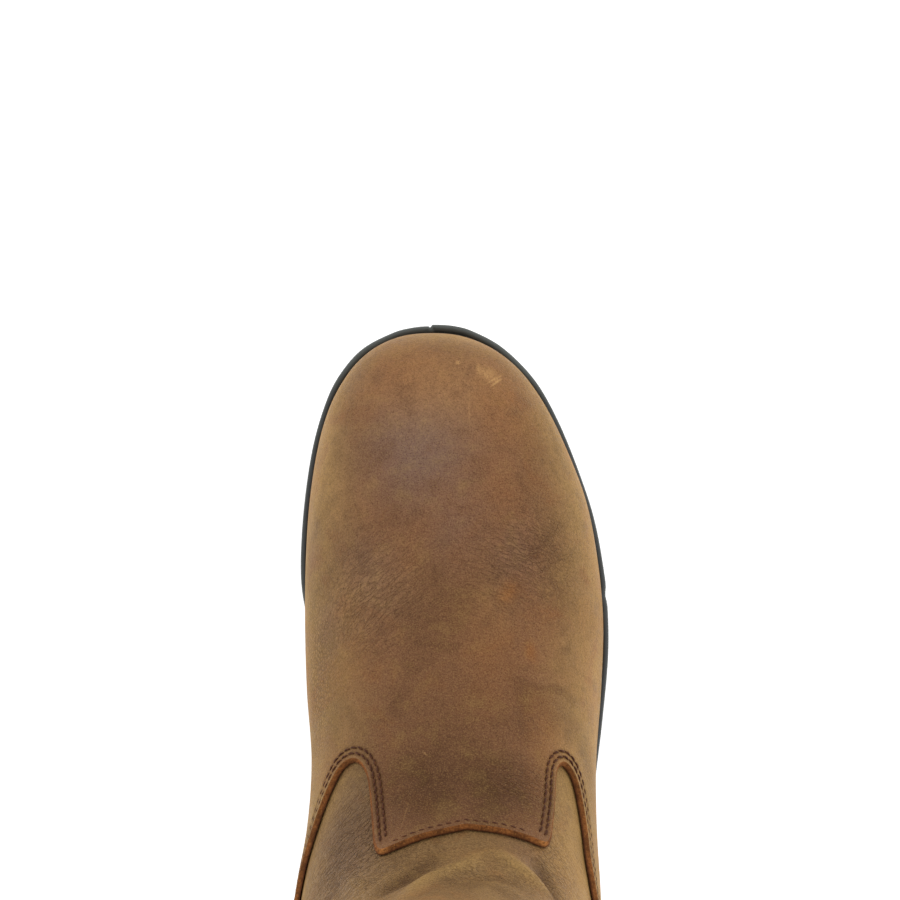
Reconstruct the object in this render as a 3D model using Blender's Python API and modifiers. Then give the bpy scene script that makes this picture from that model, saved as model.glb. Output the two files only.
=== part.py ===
"""Pull-on work boot for the right foot: sole, insole, upper and vamp, each a solid of its own.

Metres, +Z up. The toe points along +Y and the outer (lateral) side along +X.
The origin is on the floor, under the middle of the sole.
"""

import bmesh
import bpy
import numpy as np
from mathutils.geometry import delaunay_2d_cdt

# All sizes are in millimetres. Distances along the boot are measured from the heel's back.
MM = 0.001
JOIN_DISTANCE = 0.02
SLIVER_LENGTH = 0.01

# Leather
UPPER_WALL = 2.2
VAMP_THICKNESS = 1.8
FIT_GAP = 0.45
LEATHER_LIFT = 0.9

# Sole
SOLE_LENGTH = 306.3
FOREFOOT_HEIGHT = 26.0
HEEL_HEIGHT = 36.0
HEEL_RAMP = (165.0, 78.0)
TOE_SPRING = 12.5
TOE_SPRING_START = 222.0
ARCH_HEIGHT = 13.0
HEEL_BREAST = (76.0, 79.0)
ARCH_END = (108.0, 152.0)
HEEL_BEVEL_HEIGHT = 2.5
HEEL_BEVEL_LENGTH = 9.0
LUG_DEPTH = 5.0
LUG_GROOVE = 6.5
LUG_SWEEP = 9.0
LUG_REACH = 76.0
FOREFOOT_GROOVES = (164.0, 185.0, 206.0, 227.0, 248.0, 269.0)
HEEL_GROOVES = (20.0, 38.0, 56.0)
CENTRE_GROOVE = (150.0, 284.0)
CENTRE_GROOVE_WIDTH = 5.0
CENTRE_GROOVE_STEPS = 11
SOLE_ROWS_PER_SECTION = 2

# Insole
INSOLE_THICKNESS = 4.0
INSOLE_INSET = 5.4
INSOLE_EDGE_ROUND = 1.0

# Outline of the sole's rim, seen from above.
OUTLINE_COLUMNS = ("from_heel", "medial", "lateral")
SOLE_OUTLINE = (
    (0.0, 0.7, 0.7),
    (1.6, -10.5, 12.0),
    (6.0, -20.5, 22.0),
    (14.0, -29.0, 30.5),
    (26.0, -35.3, 36.9),
    (45.0, -39.0, 41.0),
    (70.0, -40.2, 43.2),
    (95.0, -40.8, 45.4),
    (120.0, -41.5, 48.0),
    (144.0, -42.5, 50.7),
    (165.6, -44.3, 53.4),
    (187.0, -48.7, 55.0),
    (206.0, -53.6, 54.7),
    (220.0, -55.0, 53.2),
    (240.6, -53.9, 49.3),
    (262.0, -50.7, 41.8),
    (278.1, -46.0, 34.3),
    (288.8, -41.0, 27.2),
    (298.4, -32.5, 17.2),
    (303.8, -22.3, 7.8),
    (305.8, -14.5, 0.4),
    (306.3, -7.1, -7.1),
)

# Side of the sole from the tread up. Columns: height_share, inset from the rim.
SOLE_SIDE = (
    (0.00, 2.6),
    (0.07, 0.9),
    (0.36, 0.3),
    (0.40, 2.0),
    (0.46, 2.0),
    (0.50, 1.0),
    (0.76, 1.6),
    (0.80, 2.8),
    (0.84, 2.8),
    (0.88, 0.3),
    (0.96, 0.0),
    (1.00, 0.9),
)

# Side of the insole from its underside up. Columns: height_share, inset.
INSOLE_SIDE = (
    (0.00, 0.0),
    (0.60, 0.0),
    (1.00, INSOLE_EDGE_ROUND),
)

# Sections of the boot's outside, from the toe over the instep to the collar. A section is a slanting cut
# from its crest, on the front of the boot, to its base, on the sole or on the back of the heel and leg.
# crest: place of the front line; base: place of the sole or back line; base_rise: base above the sole's top;
# ridge, medial, lateral, foot: places across, at the crest, at the widest points and at the base;
# widest: share of the way from crest to base; powers: how square the cut is above and below the widest point.
SECTION_COLUMNS = (
    "crest_from_heel", "crest_height", "base_from_heel", "base_rise", "ridge", "medial", "lateral",
    "foot_medial", "foot_lateral", "widest", "top_power", "low_power", "closing_power",
)
SECTIONS = (
    (299.5, 37.5, 299.5, 0.9, -8.0, -8.0, -8.0, -8.0, -8.0, 0.75, 2.2, 2.0, 1.0),
    (301.9, 45.0, 298.6, 0.9, -8.0, -17.5, 2.3, -17.0, 1.8, 0.75, 2.2, 2.0, 1.0),
    (302.2, 54.0, 295.4, 0.9, -7.5, -23.5, 8.2, -22.4, 7.0, 0.72, 2.2, 2.0, 1.0),
    (299.2, 63.0, 290.6, 0.9, -7.0, -30.5, 16.2, -29.0, 14.4, 0.70, 2.2, 2.0, 1.0),
    (293.0, 70.5, 283.5, 0.9, -6.0, -37.2, 23.9, -35.2, 21.9, 0.68, 2.2, 2.0, 1.0),
    (283.0, 76.5, 273.0, 0.9, -5.0, -43.0, 31.4, -40.8, 29.1, 0.67, 2.2, 2.0, 1.0),
    (270.0, 81.5, 259.0, 0.9, -4.0, -47.1, 38.2, -44.6, 35.6, 0.66, 2.2, 2.0, 1.0),
    (252.0, 85.5, 240.0, 0.9, -2.5, -50.0, 45.3, -47.2, 42.6, 0.65, 2.2, 2.0, 1.0),
    (232.0, 88.5, 220.0, 0.9, -1.0, -51.3, 49.3, -48.4, 46.6, 0.65, 2.2, 2.0, 1.0),
    (210.0, 93.5, 198.0, 0.9, 0.5, -51.5, 51.3, -47.8, 48.2, 0.65, 2.2, 2.0, 1.0),
    (189.0, 101.5, 172.0, 0.9, 2.0, -50.5, 50.4, -45.0, 47.0, 0.62, 2.2, 2.0, 1.0),
    (171.0, 111.5, 143.0, 0.9, 3.0, -48.2, 48.0, -41.0, 43.6, 0.55, 2.3, 2.0, 1.0),
    (157.0, 121.5, 110.0, 0.9, 3.5, -48.7, 47.2, -38.0, 41.0, 0.47, 2.4, 2.0, 1.0),
    (147.5, 131.0, 74.0, 0.9, 3.5, -51.2, 47.5, -36.6, 39.0, 0.42, 2.5, 1.8, 1.0),
    (142.5, 140.0, 46.0, 0.9, 3.0, -52.6, 47.7, -35.6, 37.4, 0.40, 2.5, 1.7, 1.0),
    (139.6, 149.0, 25.0, 0.9, 2.2, -52.6, 48.2, -31.2, 32.6, 0.40, 2.5, 1.7, 1.15),
    (138.2, 157.0, 11.5, 0.9, 1.5, -52.1, 48.6, -20.0, 21.4, 0.41, 2.5, 1.8, 1.5),
    (137.5, 164.0, 5.0, 0.9, 1.0, -51.5, 48.8, 0.7, 0.7, 0.43, 2.5, 2.1, 2.0),
    (137.0, 177.0, 2.0, 24.0, 0.5, -50.5, 49.0, 0.7, 0.7, 0.48, 2.5, 2.2, 2.0),
    (137.0, 194.0, 5.0, 56.0, 0.0, -50.5, 49.5, 0.7, 0.7, 0.50, 2.5, 2.2, 2.2),
    (137.5, 214.0, 9.5, 92.0, 0.0, -50.8, 50.5, 0.4, 0.4, 0.50, 2.5, 2.2, 2.2),
    (138.5, 236.0, 10.0, 132.0, 0.0, -51.5, 51.5, 0.0, 0.0, 0.50, 2.4, 2.3, 2.3),
    (139.5, 260.0, 8.0, 178.0, 0.0, -52.5, 52.5, 0.0, 0.0, 0.50, 2.4, 2.3, 2.3),
    (141.0, 285.0, 4.5, 240.0, 0.0, -54.0, 54.0, 0.0, 0.0, 0.50, 2.4, 2.3, 2.3),
)
FIRST_ROW = 0.15
HEEL_SEAM_ROW = 17
HEEL_CUP_MIDDLE = (0.7, 38.0, 0.0)
HEEL_CUP_ROWS = (14.0, 15.5, 17.2, 18.2)
HEEL_CUP_SHARES = (0.75, 0.95)
NORMAL_ROW_STEP = 0.03
NORMAL_SHARE_STEP = 0.01
COLLAR_ROW = len(SECTIONS) - 1
ROWS_PER_SECTION = 2
COLUMNS_ABOVE_WIDEST = 7
COLUMNS_BELOW_WIDEST = 6

# Top edge of the vamp on the boot's skin. Columns: along the ridge from the toe, around from the ridge.
# It runs from the back seam along the wing, over the notch and down the tab's side to the middle of the tab.
VAMP_EDGE_MEDIAL = (
    (263.0, 207.0),
    (260.6, 192.0),
    (257.0, 175.0),
    (246.9, 145.4),
    (237.5, 120.8),
    (228.5, 103.1),
    (220.3, 92.2),
    (212.4, 83.7),
    (204.2, 73.4),
    (196.7, 66.9),
    (187.2, 57.8),
    (179.0, 50.0),
    (173.7, 44.2),
    (172.0, 39.0),
    (173.4, 35.3),
    (177.5, 32.6),
    (184.0, 31.2),
    (195.0, 29.8),
    (204.5, 28.4),
    (208.4, 26.2),
    (207.2, 22.0),
    (202.9, 13.0),
)
VAMP_EDGE_LATERAL = (
    (263.0, 205.0),
    (260.6, 190.5),
    (257.1, 173.8),
    (246.9, 142.9),
    (237.5, 116.8),
    (228.5, 95.4),
    (220.3, 79.6),
    (213.3, 67.0),
    (207.0, 56.8),
    (199.0, 49.6),
    (190.3, 46.8),
    (183.0, 44.4),
    (177.5, 41.8),
    (174.0, 38.2),
    (173.0, 35.2),
    (174.6, 32.6),
    (178.5, 31.2),
    (186.1, 30.2),
    (194.3, 28.8),
    (200.4, 27.8),
    (203.2, 25.8),
    (202.2, 20.0),
    (200.4, 11.0),
)
VAMP_TAB_MIDDLE = (199.0, 0.0)
VAMP_BACK_ROW = 19.1
VAMP_EDGE_STEPS = 2
MEASURING_ROWS = 20
MEASURING_SHARES = 120
VAMP_EDGE_CLEARANCE = 2.5
VAMP_DOMAIN = (12.0, 110.0)

COLLECTION = "pull_on_work_boot"
CUTTER_COLLECTION = "cutters"
LEATHER_BROWN = (0.205, 0.112, 0.052, 1.0)
VAMP_BROWN = (0.188, 0.098, 0.043, 1.0)
LEATHER_ROUGHNESS = 0.58
SOLE_BLACK = (0.017, 0.018, 0.019, 1.0)
RUBBER_ROUGHNESS = 0.62
INSOLE_GREY = (0.060, 0.052, 0.045, 1.0)
FABRIC_ROUGHNESS = 0.9


def smooth_step(value, start, end):
    """Goes from 0 at start to 1 at end, level at both."""
    share = np.clip((np.asarray(value, float) - start) / (end - start), 0.0, 1.0)
    return share * share * (3.0 - 2.0 * share)


def toe_lift(from_heel):
    """How far the toe spring lifts the sole off the floor."""
    share = (np.asarray(from_heel, float) - TOE_SPRING_START) / (SOLE_LENGTH - TOE_SPRING_START)
    return TOE_SPRING * np.clip(share, 0.0, None) ** 2


def sole_top(from_heel):
    """Height of the face that the upper stands on."""
    ramp = smooth_step(from_heel, *HEEL_RAMP)
    return FOREFOOT_HEIGHT + (HEEL_HEIGHT - FOREFOOT_HEIGHT) * ramp + toe_lift(from_heel)


def tread_height(from_heel):
    """Height of the underside: flat heel and ball, hollow arch, lifted toe and a small bevel at the back."""
    from_heel = np.asarray(from_heel, float)
    breast = np.clip((from_heel - HEEL_BREAST[0]) / (HEEL_BREAST[1] - HEEL_BREAST[0]), 0.0, 1.0)
    arch = ARCH_HEIGHT * breast * (1.0 - smooth_step(from_heel, *ARCH_END))
    bevel = HEEL_BEVEL_HEIGHT * np.clip(1.0 - from_heel / HEEL_BEVEL_LENGTH, 0.0, 1.0) ** 2
    return arch + bevel + toe_lift(from_heel)


def spline(table, places, before, after):
    """Smooth curve through a table's rows at fractional row numbers; before and after shape the two ends."""
    rows = np.vstack([before, table, after])
    first = np.clip(np.floor(places).astype(int), 0, len(table) - 2)
    part = (places - first)[:, None]
    a, b, c, d = (rows[first + step] for step in range(4))
    bend = 2.0 * a - 5.0 * b + 4.0 * c - d
    twist = 3.0 * b - a - 3.0 * c + d
    return 0.5 * (2.0 * b + (c - a) * part + bend * part**2 + twist * part**3)


def mirrored_end(end, inner, mirrored):
    """Row beyond a rounded end: like the inner row, with the columns named by mirrored on the other side."""
    row = np.array(inner, float)
    row[mirrored] = 2.0 * np.asarray(end)[mirrored] - row[mirrored]
    return row


def section_sizes(rows):
    """Sizes of the sections at fractional row numbers, as named columns."""
    table = np.array(SECTIONS)
    across = [SECTION_COLUMNS.index(name) for name in (
        "crest_height", "medial", "lateral", "foot_medial", "foot_lateral")]
    before = mirrored_end(table[0], table[1], across)
    after = 2.0 * table[-1] - table[-2]
    values = spline(table, np.asarray(rows, float), before, after)
    sizes = dict(zip(SECTION_COLUMNS, values.T))
    joined_at_back = np.asarray(rows) >= HEEL_SEAM_ROW
    back_seam = (sizes["foot_medial"] + sizes["foot_lateral"]) / 2.0
    for name in ("foot_medial", "foot_lateral"):
        sizes[name] = np.where(joined_at_back, back_seam, sizes[name])
    sizes["base_rise"] = np.where(joined_at_back, sizes["base_rise"], LEATHER_LIFT)
    return sizes


def skin_points(rows, shares):
    """Points of the boot's outside. Rows count the sections. Shares run from -1 at the medial base
    over 0 at the crest to 1 at the lateral base, with the widest points at -0.5 and 0.5."""
    shares = np.asarray(shares, float)
    size = section_sizes(rows)
    lateral_side = shares > 0.0
    wide = np.where(lateral_side, size["lateral"], size["medial"])
    foot = np.where(lateral_side, size["foot_lateral"], size["foot_medial"])
    above = np.clip(2.0 * np.abs(shares), 0.0, 1.0) * np.pi / 2.0
    below = np.sin(np.clip(2.0 * np.abs(shares) - 1.0, 0.0, 1.0) * np.pi / 2.0)
    rounding = 2.0 / size["top_power"]
    upper_way = size["widest"] * (1.0 - np.cos(above).clip(0.0) ** rounding)
    upper_across = size["ridge"] + (wide - size["ridge"]) * np.sin(above) ** rounding
    lower_way = size["widest"] + (1.0 - size["widest"]) * below
    fall = (1.0 - below ** size["low_power"]).clip(0.0) ** (1.0 / size["closing_power"])
    is_upper = np.abs(shares) <= 0.5
    way = np.where(is_upper, upper_way, lower_way)
    across = np.where(is_upper, upper_across, foot + (wide - foot) * fall)
    base_height = sole_top(size["base_from_heel"]) + size["base_rise"]
    from_heel = size["crest_from_heel"] + way * (size["base_from_heel"] - size["crest_from_heel"])
    height = size["crest_height"] + way * (base_height - size["crest_height"])
    return np.stack([across, from_heel, height], axis=1)


def skin_normals(rows, shares):
    """Outward directions of the boot's outside, from small steps along and around it.

    Low on the heel, where rows and shares both run round the cup, they point away from the cup's middle.
    """
    rows = np.clip(rows, NORMAL_ROW_STEP, COLLAR_ROW - NORMAL_ROW_STEP)
    shares = np.asarray(shares, float)
    low = np.clip(shares - NORMAL_SHARE_STEP, -1.0, 1.0)
    high = np.clip(shares + NORMAL_SHARE_STEP, -1.0, 1.0)
    along = skin_points(rows + NORMAL_ROW_STEP, shares) - skin_points(rows - NORMAL_ROW_STEP, shares)
    around = skin_points(rows, high) - skin_points(rows, low)
    normals = np.cross(around, -along)
    normals[(np.abs(shares) == 1.0) & (rows >= HEEL_SEAM_ROW), 0] = 0.0
    normals /= np.linalg.norm(normals, axis=1)[:, None]
    upright = skin_points(rows, shares) - HEEL_CUP_MIDDLE
    upright[:, 2] = 0.0
    upright /= np.linalg.norm(upright, axis=1)[:, None]
    near_heel = smooth_step(rows, *HEEL_CUP_ROWS[:2]) * (1.0 - smooth_step(rows, *HEEL_CUP_ROWS[2:]))
    blend = (near_heel * smooth_step(np.abs(shares), *HEEL_CUP_SHARES))[:, None]
    normals = (1.0 - blend) * normals + blend * upright
    return normals / np.linalg.norm(normals, axis=1)[:, None]


def offset_skin(rows, shares, distance):
    """Points at a distance outside (positive) or inside (negative) the boot's outside."""
    return skin_points(rows, shares) + distance * skin_normals(rows, shares)


def to_world(points):
    """Millimetres from the heel to metres from the origin under the middle of the sole."""
    points = np.array(points, float)
    points[:, 1] -= SOLE_LENGTH / 2.0
    return points * MM


def material(name, colour, roughness):
    made = bpy.data.materials.new(name)
    made.use_nodes = True
    shader = made.node_tree.nodes["Principled BSDF"]
    shader.inputs["Base Color"].default_value = colour
    shader.inputs["Roughness"].default_value = roughness
    shader.inputs["Metallic"].default_value = 0.0
    return made


def mesh_object(name, points, faces, collection):
    """Object from points in millimetres, with coinciding points joined and faces turned outward."""
    body = bmesh.new()
    corners = [body.verts.new(point) for point in to_world(points)]
    for face in faces:
        body.faces.new([corners[index] for index in face])
    bmesh.ops.remove_doubles(body, verts=body.verts, dist=JOIN_DISTANCE * MM)
    bmesh.ops.dissolve_degenerate(body, edges=body.edges, dist=SLIVER_LENGTH * MM)
    bmesh.ops.recalc_face_normals(body, faces=body.faces)
    mesh = bpy.data.meshes.new(name)
    body.to_mesh(mesh)
    body.free()
    made = bpy.data.objects.new(name, mesh)
    bpy.data.collections[collection].objects.link(made)
    return made


def add_wall(target, thickness, outward):
    """Gives an open sheet its thickness, outward or inward."""
    wall = target.modifiers.new("wall", "SOLIDIFY")
    wall.thickness = thickness * MM
    wall.offset = 1.0 if outward else -1.0
    wall.use_rim = True


def cut_away(target, cutter):
    cut = target.modifiers.new("cut_" + cutter.name, "BOOLEAN")
    cut.operation = "DIFFERENCE"
    cut.solver = "EXACT"
    cut.object = cutter
    cutter.hide_render = True
    cutter.display_type = "WIRE"


def stacked_rings(name, rings, collection):
    """Solid from closed rings of equal length, each running heel to toe and back, capped rung by rung."""
    count = len(rings[0])
    half = count // 2
    faces = []
    for level in range(len(rings) - 1):
        low, high = level * count, (level + 1) * count
        for step in range(count):
            after = (step + 1) % count
            faces.append((low + step, low + after, high + after, high + step))
    for base in (0, (len(rings) - 1) * count):
        faces.append((base, base + 1, base + count - 1))
        for step in range(1, half - 1):
            faces.append((base + step, base + step + 1, base + count - step - 1, base + count - step))
        faces.append((base + half - 1, base + half, base + half + 1))
    return mesh_object(name, np.vstack(rings), faces, collection)


def closed_outline(stations):
    """One ring of plan points from rows of from_heel, medial and lateral, heel to toe and back."""
    from_heel, medial, lateral = stations.T
    there = np.stack([medial, from_heel], axis=1)
    back = np.stack([lateral, from_heel], axis=1)[-2:0:-1]
    return np.vstack([there, back])


def inset_outline(ring, distance):
    """Plan ring moved inward by a distance."""
    tangent = np.roll(ring, -1, axis=0) - np.roll(ring, 1, axis=0)
    inward = np.stack([tangent[:, 1], -tangent[:, 0]], axis=1)
    return ring + distance * inward / np.linalg.norm(inward, axis=1)[:, None]


def side_rings(ring, side_table, bottom, top):
    """Rings of a solid whose side follows a table of height shares and insets between two heights."""
    rings = []
    for share, inset in side_table:
        plan = inset_outline(ring, inset)
        low, high = bottom(plan[:, 1]), top(plan[:, 1])
        rings.append(np.column_stack([plan, low + share * (high - low)]))
    return rings


def sole_outline():
    """Smooth rim outline, as rows of from_heel, medial and lateral from heel to toe."""
    table = np.array(SOLE_OUTLINE)
    sides = [OUTLINE_COLUMNS.index("medial"), OUTLINE_COLUMNS.index("lateral")]
    places = np.linspace(0.0, len(table) - 1.0, SOLE_ROWS_PER_SECTION * (len(table) - 1) + 1)
    before = mirrored_end(table[0], table[1], sides)
    after = mirrored_end(table[-1], table[-2], sides)
    return spline(table, places, before, after)


def groove(path, width, across_path):
    """Bar for cutting one groove of the tread: plan points along it, widened along Y or across it along X."""
    points, faces = [], []
    for x, y in path:
        for shift in (-width / 2.0, width / 2.0):
            at = (x + shift, y) if across_path else (x, y + shift)
            floor = float(tread_height(max(at[1], HEEL_BEVEL_LENGTH)))
            points.append((*at, floor + LUG_DEPTH))
            points.append((*at, floor - LUG_DEPTH))
    for step in range(len(path) - 1):
        a, b = 4 * step, 4 * step + 4
        for one, two in ((0, 1), (1, 3), (3, 2), (2, 0)):
            faces.append((a + one, a + two, b + two, b + one))
    last = 4 * (len(path) - 1)
    faces.append((0, 1, 3, 2))
    faces.append((last, last + 1, last + 3, last + 2))
    return points, faces


def joined(shapes):
    """Several (points, faces) shapes as one."""
    points, faces = [], []
    for shape_points, shape_faces in shapes:
        start = len(points)
        points.extend(shape_points)
        faces.extend(tuple(start + index for index in face) for face in shape_faces)
    return points, faces


def build_sole():
    ring = closed_outline(sole_outline())
    sole = stacked_rings("sole", side_rings(ring, SOLE_SIDE, tread_height, sole_top), COLLECTION)
    bars = []
    for middle in FOREFOOT_GROOVES + HEEL_GROOVES:
        chevron = ((-LUG_REACH, middle - LUG_SWEEP), (0.0, middle), (LUG_REACH, middle - LUG_SWEEP))
        bars.append(groove(chevron, LUG_GROOVE, across_path=False))
    cut_away(sole, mesh_object("lug_grooves", *joined(bars), CUTTER_COLLECTION))
    channel = [(0.0, place) for place in np.linspace(*CENTRE_GROOVE, CENTRE_GROOVE_STEPS + 1)]
    bar = groove(channel, CENTRE_GROOVE_WIDTH, across_path=True)
    cut_away(sole, mesh_object("centre_groove", *bar, CUTTER_COLLECTION))
    return sole


def foot_outline():
    """Outline of the boot's outside where it meets the sole, heel to toe."""
    rows = np.linspace(HEEL_SEAM_ROW, 0.0, ROWS_PER_SECTION * HEEL_SEAM_ROW + 1)
    sizes = section_sizes(rows)
    return np.column_stack([sizes["base_from_heel"], sizes["foot_medial"], sizes["foot_lateral"]])


def build_insole():
    ring = inset_outline(closed_outline(foot_outline()), INSOLE_INSET)

    def underside(from_heel):
        return sole_top(from_heel) + FIT_GAP

    def footbed(from_heel):
        return underside(from_heel) + INSOLE_THICKNESS

    return stacked_rings("insole", side_rings(ring, INSOLE_SIDE, underside, footbed), COLLECTION)


def skin_rows():
    rows = np.linspace(0.0, COLLAR_ROW, ROWS_PER_SECTION * COLLAR_ROW + 1)
    rows[0] = FIRST_ROW
    return rows


def skin_shares():
    """Columns of the skin's grid across both sides."""
    above = np.linspace(0.0, 0.5, COLUMNS_ABOVE_WIDEST + 1)
    below = np.linspace(0.5, 1.0, COLUMNS_BELOW_WIDEST + 1)[1:]
    side = np.concatenate([above, below])
    return np.concatenate([-side[:0:-1], side])


def split_cells(cells, places):
    """Triangles of four-cornered cells of the skin, each split along its shorter diagonal."""
    skin = skin_points(*places.T)
    triangles = []
    for a, b, c, d in cells:
        if np.linalg.norm(skin[a] - skin[c]) <= np.linalg.norm(skin[b] - skin[d]):
            triangles += [(a, b, c), (a, c, d)]
        else:
            triangles += [(b, c, d), (b, d, a)]
    return triangles


def build_upper():
    rows, shares = skin_rows(), skin_shares()
    places = np.column_stack([np.repeat(rows, len(shares)), np.tile(shares, len(rows))])
    wide = len(shares)
    corners = [row * wide + column for row in range(len(rows) - 1) for column in range(wide - 1)]
    cells = [(corner, corner + 1, corner + wide + 1, corner + wide) for corner in corners]
    points = offset_skin(*places.T, -(VAMP_THICKNESS + FIT_GAP))
    upper = mesh_object("upper", points, split_cells(cells, places), COLLECTION)
    add_wall(upper, UPPER_WALL, outward=False)
    return upper


def running_length(points):
    """Length along a polyline up to each of its points."""
    steps = np.linalg.norm(np.diff(points, axis=0), axis=1)
    return np.concatenate([[0.0], np.cumsum(steps)])


def pattern_to_skin(edge, lateral_side):
    """Turns places along and around the leather into rows and shares of the skin."""
    rows = np.linspace(0.0, COLLAR_ROW, MEASURING_ROWS * COLLAR_ROW + 1)
    ridge_length = running_length(skin_points(rows, np.zeros(len(rows))))
    edge_rows = np.interp(edge[:, 0], ridge_length, rows)
    shares = np.linspace(0.0, 1.0, MEASURING_SHARES + 1) * (1.0 if lateral_side else -1.0)
    edge_shares = []
    for row, around in zip(edge_rows, edge[:, 1]):
        girth = running_length(skin_points(np.full(len(shares), row), shares))
        edge_shares.append(np.interp(around, girth, shares))
    return edge_rows, np.array(edge_shares)


def vamp_edge():
    """Top edge of the vamp from the medial back seam over the tab to the lateral one, as rows and shares."""
    sides = []
    for table, lateral_side in ((VAMP_EDGE_MEDIAL, False), (VAMP_EDGE_LATERAL, True)):
        table = np.vstack([table, VAMP_TAB_MIDDLE])
        places = np.linspace(0.0, len(table) - 1.0, VAMP_EDGE_STEPS * (len(table) - 1) + 1)
        edge = spline(table, places, 2.0 * table[0] - table[1], 2.0 * table[-1] - table[-2])
        rows, shares = pattern_to_skin(edge, lateral_side)
        sides.append(np.column_stack([rows, shares]))
    medial, lateral = sides
    return np.vstack([medial, lateral[-2::-1]])


def inside_polygon(points, polygon):
    """Which points lie inside a closed polygon."""
    inside = np.zeros(len(points), bool)
    for start, end in zip(polygon, np.roll(polygon, -1, axis=0)):
        crosses = (start[1] > points[:, 1]) != (end[1] > points[:, 1])
        rise = end[1] - start[1] if end[1] != start[1] else 1.0
        at = start[0] + (points[:, 1] - start[1]) * (end[0] - start[0]) / rise
        inside ^= crosses & (points[:, 0] < at)
    return inside


def line_distance(points, line):
    """Distance of each point from the nearest of the quarter steps along an open line."""
    steps = np.diff(line, axis=0)
    dense = np.vstack([line] + [line[:-1] + steps * part for part in (0.25, 0.5, 0.75)])
    return np.linalg.norm(points[:, None, :] - dense[None, :, :], axis=2).min(axis=1)


def vamp_border():
    """Closed outline of the vamp in rows and shares: top edge, lateral sole line, toe, medial sole line."""
    rows, shares = skin_rows(), skin_shares()
    side_rows = np.append(rows[rows < VAMP_BACK_ROW], VAMP_BACK_ROW)
    lateral_side = np.column_stack([side_rows[::-1], np.ones(len(side_rows))])
    toe = np.column_stack([np.full(len(shares) - 2, FIRST_ROW), shares[-2:0:-1]])
    medial_side = np.column_stack([side_rows, -np.ones(len(side_rows))])
    return np.vstack([vamp_edge(), lateral_side, toe, medial_side])


def build_vamp():
    """Leather over the foot: whole cells of the upper's grid, and triangles from them to the top edge."""
    scale = np.array(VAMP_DOMAIN)
    rows, shares = skin_rows(), skin_shares()
    border = vamp_border()
    nodes = np.column_stack([np.repeat(rows, len(shares)), np.tile(shares, len(rows))])
    inside = inside_polygon(nodes, border)
    inside &= line_distance(nodes * scale, vamp_edge() * scale) > VAMP_EDGE_CLEARANCE
    on_border = (nodes[:, 0] == FIRST_ROW) | ((np.abs(nodes[:, 1]) == 1.0) & (nodes[:, 0] < VAMP_BACK_ROW))
    usable = (inside | on_border).reshape(len(rows), len(shares))
    whole = usable[:-1, :-1] & usable[:-1, 1:] & usable[1:, :-1] & usable[1:, 1:]
    places = np.vstack([border, nodes[inside & ~on_border]])
    index_at = {tuple(np.round(place, 6)): index for index, place in enumerate(places)}
    quads = []
    for row, column in np.argwhere(whole):
        corners = ((row, column), (row, column + 1), (row + 1, column + 1), (row + 1, column))
        quads.append([index_at[tuple(np.round((rows[r], shares[c]), 6))] for r, c in corners])
    edges = [(step, (step + 1) % len(border)) for step in range(len(border))]
    edges += [(quad[step], quad[step - 1]) for quad in quads for step in range(4)]
    filled = delaunay_2d_cdt([tuple(place) for place in places * scale], edges, [], 1, 1e-6)
    places = np.array([tuple(point) for point in filled[0]]) / scale
    places[:, 1] = np.clip(places[:, 1], -1.0, 1.0)
    faces = split_cells(quads, places)
    for triangle in filled[2]:
        middle = places[list(triangle)].mean(axis=0)
        cell = (np.searchsorted(rows, middle[0]) - 1, np.searchsorted(shares, middle[1]) - 1)
        if not whole[cell]:
            faces.append(tuple(triangle))
    points = offset_skin(*places.T, -VAMP_THICKNESS)
    vamp = mesh_object("vamp", points, faces, COLLECTION)
    add_wall(vamp, VAMP_THICKNESS, outward=True)
    return vamp


def main():
    for old in list(bpy.data.objects):
        bpy.data.objects.remove(old)
    for name in (COLLECTION, CUTTER_COLLECTION):
        bpy.context.scene.collection.children.link(bpy.data.collections.new(name))
    finishes = (
        (build_sole(), "moulded_black_rubber", SOLE_BLACK, RUBBER_ROUGHNESS),
        (build_insole(), "insole_fabric", INSOLE_GREY, FABRIC_ROUGHNESS),
        (build_upper(), "waxed_brown_leather", LEATHER_BROWN, LEATHER_ROUGHNESS),
        (build_vamp(), "waxed_vamp_leather", VAMP_BROWN, LEATHER_ROUGHNESS),
    )
    for piece, name, colour, roughness in finishes:
        piece.data.materials.append(material(name, colour, roughness))


main()
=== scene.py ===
"""Looks of a right pull-on work boot: waxed leather upper and vamp, lining, stitches, rubber sole and insole.

The file is laid out as an add-on and run as a script. Tables are in millimetres: from_heel along the boot
from the heel's back, across towards the outer side, and height from the floor. Pieces are made in metres.
"""

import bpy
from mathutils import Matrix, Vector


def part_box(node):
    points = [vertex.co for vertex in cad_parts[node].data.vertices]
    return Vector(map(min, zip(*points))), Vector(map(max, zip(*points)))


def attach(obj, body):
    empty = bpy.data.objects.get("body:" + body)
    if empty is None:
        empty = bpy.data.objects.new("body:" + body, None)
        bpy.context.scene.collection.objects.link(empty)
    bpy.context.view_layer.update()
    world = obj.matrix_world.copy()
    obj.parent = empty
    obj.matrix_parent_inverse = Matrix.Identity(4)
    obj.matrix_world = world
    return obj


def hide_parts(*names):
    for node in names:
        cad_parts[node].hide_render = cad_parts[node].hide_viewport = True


bl_info = {
    "name": "Pull-on Work Boot",
    "version": (1, 0, 0),
    "blender": (4, 5, 0),
    "location": "3D View > Sidebar > Boot",
    "description": "Builds the leather, lining, stitches, sole and stage of a pull-on work boot",
    "category": "Object",
}

import math

import bmesh
import bpy
import numpy as np
from bpy.props import FloatProperty, FloatVectorProperty, PointerProperty

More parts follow.
